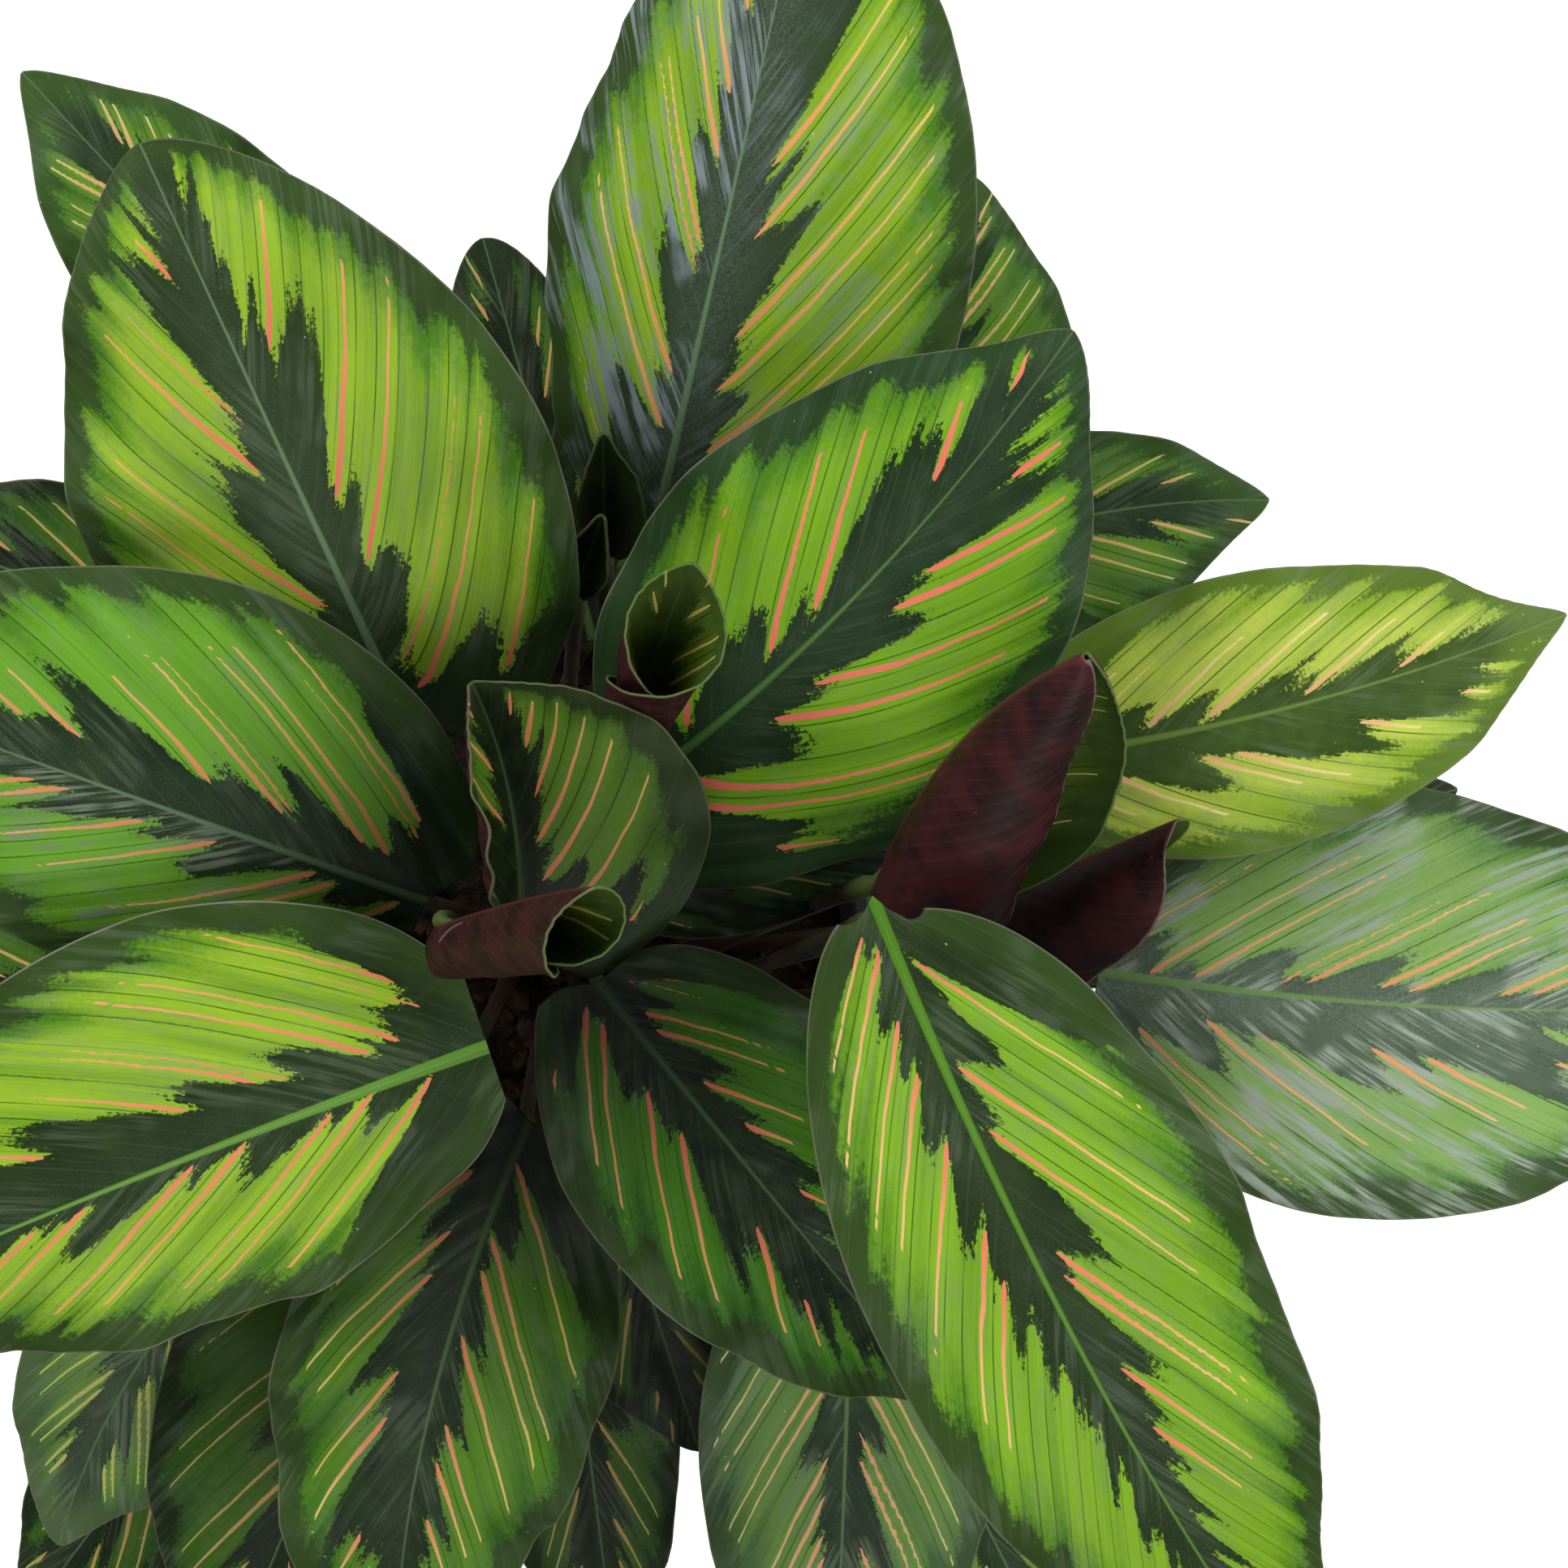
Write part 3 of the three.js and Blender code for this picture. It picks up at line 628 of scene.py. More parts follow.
def midrib_frame(leaf, t):
    """The midrib's points at shares t, and the directions along it, to its left and up."""
    base = np.array(leaf["base"], float)
    chord = np.array(leaf["tip"], float) - base
    along = unit(chord)
    up = unit(np.array([0, 0, 1]) - along * along[2])
    left = np.cross(up, along)
    share = np.asarray(t, float)[..., None]
    bulge = 4 * share * (1 - share)
    slope = 4 - 8 * share
    point = base + chord * share + up * leaf["arch"] * bulge + left * leaf["sway"] * bulge
    tangent = unit(chord + up * leaf["arch"] * slope + left * leaf["sway"] * slope)
    flat_up = unit(up - tangent * (tangent @ up)[..., None])
    flat_left = np.cross(flat_up, tangent)
    first, last = leaf["roll"]
    roll = np.radians(first + (last - first) * share)
    turned_left = flat_left * np.cos(roll) + flat_up * np.sin(roll)
    turned_up = flat_up * np.cos(roll) - flat_left * np.sin(roll)
    return point, tangent, turned_left, turned_up


def blade_length(leaf):
    return math.dist(leaf["base"], leaf["tip"])


def blade_points(leaf, t, q, extra):
    """Points of the blade's middle surface and its normals. q is 1 at the left margin and -1 at
    the right one, and extra lifts the surface."""
    point, tangent, left, up = midrib_frame(leaf, t)
    is_left = q > 0
    out = np.abs(q)
    pick = lambda pair: np.where(is_left, pair[0], pair[1])
    half = np.where(is_left, half_width(leaf, t, 0), half_width(leaf, t, 1))
    fold = np.radians(pick(leaf["fold"]))
    if "bore" in leaf:
        left_bore, right_bore = leaf["bore"]
        turn = half / pick((np.interp(t, (0, 1), left_bore), np.interp(t, (0, 1), right_bore)))
    else:
        turn = np.radians(pick(leaf["cup"]))
    angle = fold + turn * out
    sign = np.sign(q)
    across = (np.sin(angle) - np.sin(fold)) / turn * half * sign
    rise = (np.cos(fold) - np.cos(angle)) / turn * half
    height, count, start = leaf["wave"]
    envelope = np.minimum(1, half / CALM_WIDTH) * out * out
    phase = np.radians(start) + np.where(is_left, 0, WAVE_LEAD)
    wave = height * envelope * np.sin(2 * np.pi * count * t + phase)
    back = pick(leaf["lobe"]) * np.sin(LOBE_SWING * out) * (1 - t) ** 4
    normal = up * np.cos(angle)[..., None] - left * (np.sin(angle) * sign)[..., None]
    place = (point + left * across[..., None] + up * rise[..., None]
             - tangent * back[..., None] + normal * (wave + extra)[..., None])
    return place, normal


def vein_start(leaf, along, out_mm, half):
    """Where on the midrib the side vein through a place starts, in mm from the base, and how
    many mm that start moves for 1 mm across the veins."""
    fan = VEIN_FAN / blade_length(leaf)
    spread = 1 + fan * out_mm
    start = (along - VEIN_FORWARD * out_mm - VEIN_CURVE * out_mm ** 2 / half) / spread
    forward = VEIN_FORWARD + 2 * VEIN_CURVE * out_mm / half + fan * start
    return start, np.sqrt(1 + forward ** 2) / spread


def stripe_count(starts, at):
    """A smooth count of the pinstripes up to a place on the midrib, and the mm for one of them."""
    known = np.array([starts[0] - END_GAP, *starts, starts[-1] + END_GAP], float)
    gaps = np.diff(known)
    steep = 1 / gaps
    slopes = np.concatenate((steep[:1], (steep[:-1] + steep[1:]) / 2, steep[-1:]))
    # Slopes under three times each gap's own keep the count rising.
    limit = 2.9 * steep
    slopes[:-1] = np.minimum(slopes[:-1], limit)
    slopes[1:] = np.minimum(slopes[1:], limit)
    cell = np.clip(np.searchsorted(known, at) - 1, 0, len(gaps) - 1)
    gap = gaps[cell]
    u = np.clip((at - known[cell]) / gap, 0, 1)
    beyond = at - np.clip(at, known[0], known[-1])
    first = slopes[cell] * gap
    last = slopes[cell + 1] * gap
    count = (cell + 3 * u ** 2 - 2 * u ** 3
             + first * (u ** 3 - 2 * u ** 2 + u) + last * (u ** 3 - u ** 2))
    rate = (6 * u - 6 * u ** 2
            + first * (3 * u ** 2 - 4 * u + 1) + last * (3 * u ** 2 - 2 * u)) / gap
    return count + beyond / END_GAP, 1 / np.maximum(rate, 0.02)


def random_stripes(draw, length, pair_gap):
    """Pinstripes in pairs, at seeded places from the base to near the tip."""
    starts = []
    place = draw.uniform(*FIRST_PAIR)
    while place < length * PAIRS_REACH:
        starts.append(round(place))
        starts.append(round(place + draw.uniform(*WITHIN_PAIR) * pair_gap))
        place += pair_gap * draw.uniform(*BETWEEN_PAIRS)
    return starts


def lay_stripes(leaf, side, draw):
    """Where one half's pinstripes leave the midrib, in mm from the base. With each one come its
    distance from the midrib at its start, from the margin at its end, and its width. One
    without width at either end carries the paint on to the base and the tip."""
    if "stripes" in leaf:
        starts = leaf["stripes"][side]
    else:
        starts = random_stripes(draw, blade_length(leaf), leaf["pair_gap"])
    begin = leaf["begin"][side]
    end = leaf["end"][side]
    thin = leaf["thin"][side]
    rows = []
    for k, start in enumerate(starts):
        share = k / (len(starts) - 1)
        behind = BEHIND_BASE * max(0, -start)
        rows.append((
            begin[0] + (begin[1] - begin[0]) * share + behind + draw.uniform(-1, 1),
            end[0] + (end[1] - end[0]) * share + draw.uniform(-2, 2),
            THIN_STRIPE if start in thin else draw.uniform(*STRIPE_WIDTHS),
        ))
    return starts, np.array([(UNSEEN_BASE, 12, 0), *rows, (UNSEEN_TIP, 10, 0)])


def smooth_step(value, low, high):
    share = np.clip((value - low) / (high - low), 0, 1)
    return share * share * (3 - 2 * share)


def shape_blade(name, leaf, columns, rows, face, underside):
    """A blade: a grid laid on the leaf's surface, closed by a thin wall, with what its markings
    follow kept on its points in mm."""
    draw = random.Random(name)
    length = blade_length(leaf)
    bpy.ops.object.select_all(action="DESELECT")
    bpy.ops.mesh.primitive_grid_add(x_subdivisions=columns, y_subdivisions=rows, size=1)
    blade = bpy.context.object
    # Columns lie closer at the midrib and the margins, and rows at the base and the tip.
    flat = vertex_array(blade.data)
    even_q = flat[:, 0] * -2
    even_out = np.abs(even_q)
    q = np.sign(even_q) * (0.35 * even_out + 0.65 * np.sin(even_out * np.pi / 2) ** 1.35)
    even = flat[:, 1] + 0.5
    t = 0.6 * (0.5 - 0.5 * np.cos(np.pi * even)) + 0.4 * even
    half = np.where(q > 0, half_width(leaf, t, 0), half_width(leaf, t, 1))
    out_mm = np.abs(q) * half
    start, crowd = vein_start(leaf, t * length, out_mm, half)
    count, gap, begins, ends, widths, panels = np.zeros((6, len(t)))
    for side, here in enumerate((q > 0, q <= 0)):
        starts, limits = lay_stripes(leaf, side, draw)
        count[here], gap[here] = stripe_count(starts, start[here])
        order = np.arange(len(limits))
        begins[here], ends[here], widths[here] = [
            np.interp(count[here], order, column) for column in limits.T]
        gaps = np.diff([starts[0] - END_GAP, *starts, starts[-1] + END_GAP])
        interval = np.clip(count[here].astype(int), 0, len(gaps) - 1)
        panels[here] = np.maximum(1, np.round(gaps / PANEL_MM))[interval]
    quilt = QUILT_MM * np.cos(2 * np.pi * start / VEIN_PITCH) * smooth_step(out_mm, 2, 9)
    groove = (-GROOVE_MM * np.exp(-(out_mm / 3.2) ** 2)
              + MIDRIB_MM * np.exp(-(out_mm / 1.1) ** 2) * (1 - t))
    ripple = RIPPLE_MM * np.abs(q) ** 4 * np.sin(
        2 * np.pi * (leaf["wave"][1] * 2.3 * t + draw.random() + 0.3 * np.sign(q)))
    lift = quilt + groove + ripple * np.minimum(1, half / 20)
    place, normal = blade_points(leaf, t, q, lift)
    place_vertices(blade.data, place * MM)
    # Painted shade: the colour is darkened toward the base of the blade, and over all of a leaf that
    # lies deep in the crown.
    base_shade_factor, lit_from = leaf["painted_shade"]
    painted_shade_factor = leaf["painted_shade_factor"] * (base_shade_factor + (1 - base_shade_factor) * smooth_step(t, 0, lit_from))
    marks = {
        "vein": start, "rib": q * half, "edge": half - out_mm, "share": t,
        "stripe": count, "gap": gap / crowd, "begins": begins, "ends": ends, "width": widths,
        "panels": panels, "painted_shade_factor": painted_shade_factor, "seed": np.full(len(t), draw.uniform(0, 90)),
    }
    for mark, values in marks.items():
        layer = blade.data.attributes.new(mark, "FLOAT", "POINT")
        layer.data.foreach_set("value", np.asarray(values, np.float32))
    blade.data.materials.append(face)
    blade.data.materials.append(underside)
    wall = blade.modifiers.new("wall", "SOLIDIFY")
    wall.thickness = BLADE_MM * MM
    wall.offset = 0
    wall.material_offset = 1
    bpy.ops.object.modifier_apply(modifier=wall.name)
    both = vertex_array(blade.data)
    ridge = RIDGE_MM * np.exp(-(out_mm / 1.5) ** 2) * (1 - 0.8 * t)
    both[len(t):2 * len(t)] -= normal * (ridge * MM)[:, None]
    place_vertices(blade.data, both)
    blade.data.shade_smooth()
    return blade


def stalk_path(leaf, steps):
    """Points of the stalk's middle, from its foot in the soil to the underside of the blade."""
    x, y = leaf["root"]
    foot = np.array([x, y, soil_height(x * MM, y * MM) / MM - ROOT_DEPTH])
    collar = foot + np.array([0, 0, ROOT_DEPTH + COLLAR])
    point, _, _, up = midrib_frame(leaf, np.array([JOINT_SHARE]))
    top = point[0] - up[0] * JOINT_DROP
    rise = top[2] - collar[2]
    under = top + (foot - top) * np.array([STALK_INWARD, STALK_INWARD, 0])
    under[2] = top[2] - STALK_BEND * rise
    lower = collar + np.array([0, 0, STALK_STRAIGHT * rise])
    u = np.linspace(0, 1, steps)[:, None]
    curve = ((1 - u) ** 3 * collar + 3 * (1 - u) ** 2 * u * lower
             + 3 * (1 - u) * u ** 2 * under + u ** 3 * top)
    beyond, _, _, lift = midrib_frame(leaf, np.array(TAIL_SHARES))
    tail = beyond - lift * np.array(TAIL_DROPS)[:, None]
    return np.vstack((foot, curve, tail))


def shape_stalk(leaf, skin):
    """A stalk: a tube along its path, thick where its sheath clasps it and at its top joint."""
    path = stalk_path(leaf, STALK_STEPS)
    curve = bpy.data.curves.new("stalk", "CURVE")
    curve.dimensions = "3D"
    curve.bevel_depth = MM
    curve.bevel_resolution = 3
    curve.use_fill_caps = True
    spline = curve.splines.new("POLY")
    spline.points.add(len(path) - 1)
    run = np.concatenate(([0], np.cumsum(np.linalg.norm(np.diff(path, axis=0), axis=1))))
    share = run / run[-4]
    sheath = (SHEATH_RADIUS - STALK_RADIUS) * (1 - smooth_step(share, 0.1, 0.5))
    swell = smooth_step(share, 0.86, 0.92) * (1 - smooth_step(share, 0.98, 1.03))
    joint = (JOINT_RADIUS - STALK_RADIUS) * swell
    radius = STALK_RADIUS + sheath + joint
    radius[-3:] = TAIL_RADII
    for k, place in enumerate(path):
        spline.points[k].co = (*(place * MM), 1)
        spline.points[k].radius = radius[k]
    stalk = bpy.data.objects.new("stalk", curve)
    bpy.context.collection.objects.link(stalk)
    hold(stalk)
    bpy.ops.object.convert(target="MESH")
    stalk = bpy.context.object
    tube = vertex_array(stalk.data) / MM
    nearest = np.linalg.norm(tube[:, None] - path[None], axis=2).argmin(axis=1)
    layer = stalk.data.attributes.new("share", "FLOAT", "POINT")
    layer.data.foreach_set("value", share[nearest].astype(np.float32))
    stalk.data.materials.append(skin)
    stalk.data.shade_smooth()
    return stalk


def grow_leaf(name, leaf, cells, face, underside, skin):
    """One whole leaf, with its own materials for the upper face, the underside and the stalk."""
    blade = shape_blade(name, leaf, *cells, face, underside)
    stalk = shape_stalk(leaf, skin)
    hold(blade, stalk)
    bpy.ops.object.join()
    blade.name = name + "_grown"
    return blade


def read(tree, name):
    """The value that the mesh keeps on its points under that name."""
    return put(tree, "ShaderNodeAttribute", attribute_name=name).outputs["Fac"]


def spot(x, y, z):
    """A place for noise, put together from three values."""
    node = put(tree_of((x, y, z)), "ShaderNodeCombineXYZ")
    for socket, value in zip(node.inputs, (x, y, z)):
        feed(socket, value)
    return node.outputs[0]


# The common look of a tall leaf: screen colours from 0 to 255, then widths in mm and shares of
# film and dust. The film is partly dried water and partly painted sheen. Margin band is the dark
# margin, and wedge is how much a panel narrows away from its pinstripe.
LIME_LOOK = dict(
    dark=(34, 51, 24), margin=(54, 78, 32), lime=(140, 178, 38), deep=(72, 122, 25),
    vein=(50, 88, 24), stripe_start=(226, 122, 94), stripe_end=(226, 164, 100),
    midrib=(82, 120, 66), rim=(132, 130, 108), film=(116, 130, 108), margin_band=5.0, wedge=1.1,
    stripe_width=0.9, midrib_width=1.2, film_left=0.25, film_right=0.25, powder=0.08,
)

# How the paint lies, in mm: how far its brush strokes fray a panel's inner and outer end, how far
# freckles reach over them, and how deep the dark goes in between two pinstripes.
PATTERN_LENGTH = 150
BROAD_FRAY = 8
FINE_FRAY = 7
OUTER_FINE_FRAY = 4
FRECKLE_REACH = 7
WEDGE_DEPTH = 8
PANEL_SLACK = 3
# Half a pinstripe's width at its start, what it loses outward, and how far it frays and swerves.
HALF_STRIPE = 0.66
STRIPE_THINS = 0.36
STRIPE_FRAY = 0.22
STRIPE_SWERVE = 1.2


def socket_name(key):
    return key.replace("_", " ").capitalize()


def pinstripe_pattern():
    """The painted face of a blade, drawn along its veins."""
    tree = bpy.data.node_groups.new("pinstripe pattern", "ShaderNodeTree")
    for key, value in LIME_LOOK.items():
        kind = "NodeSocketColor" if isinstance(value, tuple) else "NodeSocketFloat"
        tree.interface.new_socket(name=socket_name(key), in_out="INPUT", socket_type=kind)
    for name, kind in (("Color", "Color"), ("Roughness", "Float"), ("Height", "Float")):
        tree.interface.new_socket(name=name, in_out="OUTPUT", socket_type="NodeSocket" + kind)
    given = put(tree, "NodeGroupInput").outputs
    result = put(tree, "NodeGroupOutput").inputs
    rib = read(tree, "rib")
    start, edge, share, count, gap, begins, ends, width, panels = [
        read(tree, name) for name in
        ("vein", "edge", "share", "stripe", "gap", "begins", "ends", "width", "panels")]
    away = calc("ABSOLUTE", rib)
    seed = plus(read(tree, "seed"), times(calc("SIGN", rib), 7))

    # Brush strokes run along the veins: quick across them and slow along them.
    stroke = lambda fine, long: spot(times(start, fine), times(away, long), seed)
    broad_brush = less(clouds(stroke(0.22, 0.15), 1, 2), 0.5)
    fine_brush = less(clouds(stroke(1.3, 0.6), 1, 4, 0.7), 0.5)
    jag = plus(times(broad_brush, BROAD_FRAY), times(fine_brush, FINE_FRAY))

    nearest = calc("ROUND", count)
    offset = times(less(count, nearest), gap)
    apart = calc("ABSOLUTE", offset)
    cell = plus(times(count, calc("ROUND", panels)), 0.5)
    panel = put(tree, "ShaderNodeTexWhiteNoise")
    feed(panel.inputs["Vector"], spot(calc("FLOOR", count), calc("FLOOR", cell), seed))
    chance = put(tree, "ShaderNodeSeparateColor")
    feed(chance.inputs[0], panel.outputs["Color"])
    beside = calc("MAXIMUM", less(apart, 1.2), 0)
    wedge = calc("MINIMUM", times(beside, given["Wedge"]), WEDGE_DEPTH)
    off_line = ease(apart, 0.8, 2.6)

    place = spot(rib, times(share, PATTERN_LENGTH), seed)
    freckle = times(less(clouds(place, 0.9, 3, 0.7), 0.5), FRECKLE_REACH)

    # Lime panels lie between the dark midrib zone and the margin band. They start where their
    # pinstripe does, and further out between two pinstripes.
    slack = [times(off_line, chance.outputs[k], PANEL_SLACK) for k in (0, 1)]
    inner = plus(begins, 0.8, wedge, slack[0], jag)
    outer = plus(given["Margin band"], times(wedge, 0.3), slack[1],
                 times(broad_brush, BROAD_FRAY), times(fine_brush, OUTER_FINE_FRAY))
    past_inner = less(away, plus(inner, freckle))
    past_outer = less(edge, plus(outer, freckle))
    lime = times(ease(past_inner, -0.3, 0.6), ease(past_outer, -1.0, 2.0))

    # Thin veins part the panels.
    phase = calc("FRACT", cell)
    from_vein = times(calc("ABSOLUTE", less(phase, 0.5)), calc("DIVIDE", gap, panels))
    from_vein = less(calc("DIVIDE", times(gap, 0.5), panels), from_vein)
    vein = less(1, ease(from_vein, 0.06, 0.26))
    worn = ease(clouds(stroke(0.6, 0.08), 1, 1), 0.32, 0.5)
    vein = times(vein, plus(0.35, times(worn, 0.65)), ease(apart, 0.9, 1.8))

    # A pinstripe is thick and pink at its start, thins and pales outward, and ends in dashes.
    room = calc("MAXIMUM", less(plus(away, edge), plus(begins, ends)), 2)
    run = calc("DIVIDE", less(away, begins), room)
    wobble = less(clouds(spot(nearest, times(away, 0.16), seed), 1, 1), 0.5)
    swerve = calc("ABSOLUTE", plus(offset, times(wobble, STRIPE_SWERVE)))
    slim = times(less(HALF_STRIPE, times(ease(run, 0, 0.75), STRIPE_THINS)), width)
    pointed = ease(run, -0.02, 0.06)
    frayed = plus(slim, times(fine_brush, width, STRIPE_FRAY))
    half_stripe = times(frayed, given["Stripe width"], pointed)
    on_line = less(1, ease(less(swerve, half_stripe), -0.06, 0.06))
    dash = clouds(spot(times(nearest, 3.7), times(away, 0.75), seed), 1, 2)
    thinness = ease(width, 0.7, 0.4)
    limit = plus(0.16, times(ease(run, 0.7, 1.0), 0.38), times(thinness, 0.26))
    lasting = ease(less(dash, limit), -0.02, 0.02)
    within = times(calc("GREATER_THAN", run, 0), calc("LESS_THAN", run, 1),
                   calc("GREATER_THAN", width, 0.2))
    stripe = times(on_line, lasting, within)

    mottle = clouds(place, 0.09, 3, 0.6)
    speck = clouds(place, 2.2, 2, 0.65)
    thread = clouds(stroke(2.6, 0.1), 1, 2, 0.6)

    # The dark zones are darkest by the midrib and greener toward the margin.
    toward_edge = ease(plus(edge, times(broad_brush, 10)), 15, 4)
    dark = tint(times(ease(mottle, 0.35, 0.7), 0.3), given["Dark"], given["Margin"])
    dark = tint(times(toward_edge, 0.8), dark, given["Margin"])
    shadow = tint(0.45, dark, (0, 0, 0, 1))
    dark = tint(times(ease(past_inner, -5, 0), ease(edge, 8, 14), 0.5), dark, shadow)
    pale = tint(0.5, given["Margin"], given["Film"])
    dark = tint(times(vein, 0.16), dark, pale)
    dust = times(ease(speck, 0.35, 0.7), ease(away, 14, 2), given["Powder"])
    dark = tint(dust, dark, given["Film"])

    # The lime is brightest along the pinstripes and deepens toward the margin.
    deepen = plus(times(chance.outputs[2], 0.22), times(ease(past_outer, 11, 0), 0.75),
                  times(ease(clouds(stroke(0.12, 0.04), 1, 1), 0.4, 0.65), 0.3),
                  times(ease(thread, 0.35, 0.7), 0.22))
    glow = times(ease(apart, 5, 1), 0.3)
    green = tint(calc("SUBTRACT", deepen, glow, clamp=True), given["Lime"], given["Deep"])
    blotch = ease(clouds(place, 0.4, 2, 0.7), 0.5, 0.6)
    green = tint(times(blotch, 0.1), green, given["Film"])
    green = tint(times(vein, 0.85), green, given["Vein"])
    color = tint(lime, dark, green)

    # A pale film in streaks along the veins: partly dried water, partly painted sheen, and set for
    # each half of the blade.
    streak = ease(clouds(stroke(0.4, 0.07), 1, 3, 0.62), 0.44, 0.62)
    patch = ease(clouds(place, 0.05, 2, 0.6), 0.42, 0.6)
    is_left = calc("GREATER_THAN", rib, 0)
    film_and_sheen_strength = plus(times(is_left, given["Film left"]), times(less(1, is_left), given["Film right"]))
    film = calc("MULTIPLY", times(streak, patch), film_and_sheen_strength, clamp=True)
    color = tint(film, color, given["Film"])
    ink = tint(ease(run, 0.02, 0.85), given["Stripe start"], given["Stripe end"])
    color = tint(stripe, color, ink)
    dots = put(tree, "ShaderNodeTexVoronoi")
    feed(dots.inputs["Vector"], place)
    feed(dots.inputs["Scale"], 0.1)
    crumbs = ease(dots.outputs["Distance"], 0.028, 0.018)
    color = tint(times(crumbs, 0.55), color, paint(205, 210, 200))

    taper = calc("POWER", less(1, share), 2.2)
    half_rib = times(given["Midrib width"], plus(0.2, times(taper, 0.8)))
    midrib = less(1, ease(less(away, half_rib), -0.35, 0.15))
    # A painted highlight: the middle of the midrib is tinted toward the rim colour along its ridge.
    midrib_with_painted_highlight = tint(ease(away, 0.35, 0.1), given["Midrib"], given["Rim"])
    color = tint(times(midrib, 0.9), color, tint(0.75, midrib_with_painted_highlight, given["Midrib"]))
    color = tint(times(ease(edge, 0.5, 0.15), 0.5), color, given["Rim"])
    # Painted shade: the colour is multiplied by the darkening that each point keeps.
    painted_shade = put(tree, "ShaderNodeMix", data_type="RGBA", blend_type="MULTIPLY")
    feed(painted_shade.inputs[0], 1)
    feed(painted_shade.inputs[6], color)
    feed(painted_shade.inputs[7], spot(*[read(tree, "painted_shade_factor")] * 3))
    feed(result["Color"], painted_shade.outputs[2])

    feed(result["Roughness"], plus(0.36, times(mottle, 0.14), times(film, 0.2)))
    feed(result["Height"], times(thread, 0.5))
    return tree


painted_face = pinstripe_pattern()


def upper_face(name, paints):
    """The material of a blade's upper face, with one kind of leaf's colours and sizes."""
    look, tree = new_material(name)
    pattern = put(tree, "ShaderNodeGroup", node_tree=painted_face)
    for key, value in paints.items():
        is_color = isinstance(value, tuple)
        feed(pattern.inputs[socket_name(key)], paint(*value) if is_color else value)
    made = pattern.outputs
    return dress(look, made["Color"], made["Roughness"], 0.1, made["Height"], 0.35, 0.0003)


def under_face():
    """The wine-purple underside, redder along its middle, with faint ribs and a pale margin."""
    look, tree = new_material("purple underside")
    rib, start, edge, share, seed = [
        read(tree, name) for name in ("rib", "vein", "edge", "share", "seed")]
    away = calc("ABSOLUTE", rib)
    place = spot(rib, times(share, PATTERN_LENGTH), seed)
    cloud = clouds(place, 0.07, 3, 0.6)
    color = tint(ease(cloud, 0.35, 0.65), paint(34, 14, 16), paint(62, 22, 26))
    wave = calc("SINE", times(start, 2 * math.pi / 5))
    color = tint(times(ease(wave, 0.7, 1), 0.12), color, paint(104, 48, 54))
    green = ease(clouds(place, 0.5, 3, 0.7), 0.69, 0.73)
    color = tint(times(green, 0.55), color, paint(84, 110, 52))
    color = tint(ease(away, 2.2, 0.8), color, paint(84, 36, 42))
    color = tint(times(ease(edge, 0.8, 0.3), 0.45), color, paint(160, 128, 130))
    height = plus(times(wave, 0.15), cloud)
    return dress(look, color, plus(0.42, times(cloud, 0.2)), 0.25, height, 0.3, 0.0004)


def stalk_skin():
    """A stalk's skin: wine purple on the sheath, then mottled green and brown, and green at the
    top joint."""
    look, tree = new_material("stalk skin")
    share = read(tree, "share")
    place = object_place(tree)
    cloud = clouds(place, 110, 4, 0.65)
    fine = clouds(place, 700, 2)
    sheath = ease(plus(share, times(cloud, 0.3)), 0.72, 0.42)
    # The stalk's colours are kept dark, partly their own and partly painted shade for the middle of the
    # crown.
    color = tint(ease(cloud, 0.4, 0.62), paint(46, 50, 28), paint(52, 30, 29))
    color = tint(sheath, color, paint(50, 20, 26))
    color = tint(ease(share, 0.9, 0.98), color, paint(72, 88, 40))
    color = tint(times(ease(fine, 0.6, 0.72), 0.2), color, paint(110, 84, 76))
    return dress(look, color, plus(0.38, times(cloud, 0.2)), 0.2, fine, 0.25, 0.0004)


purple_underside = under_face()
stalk_look = stalk_skin()

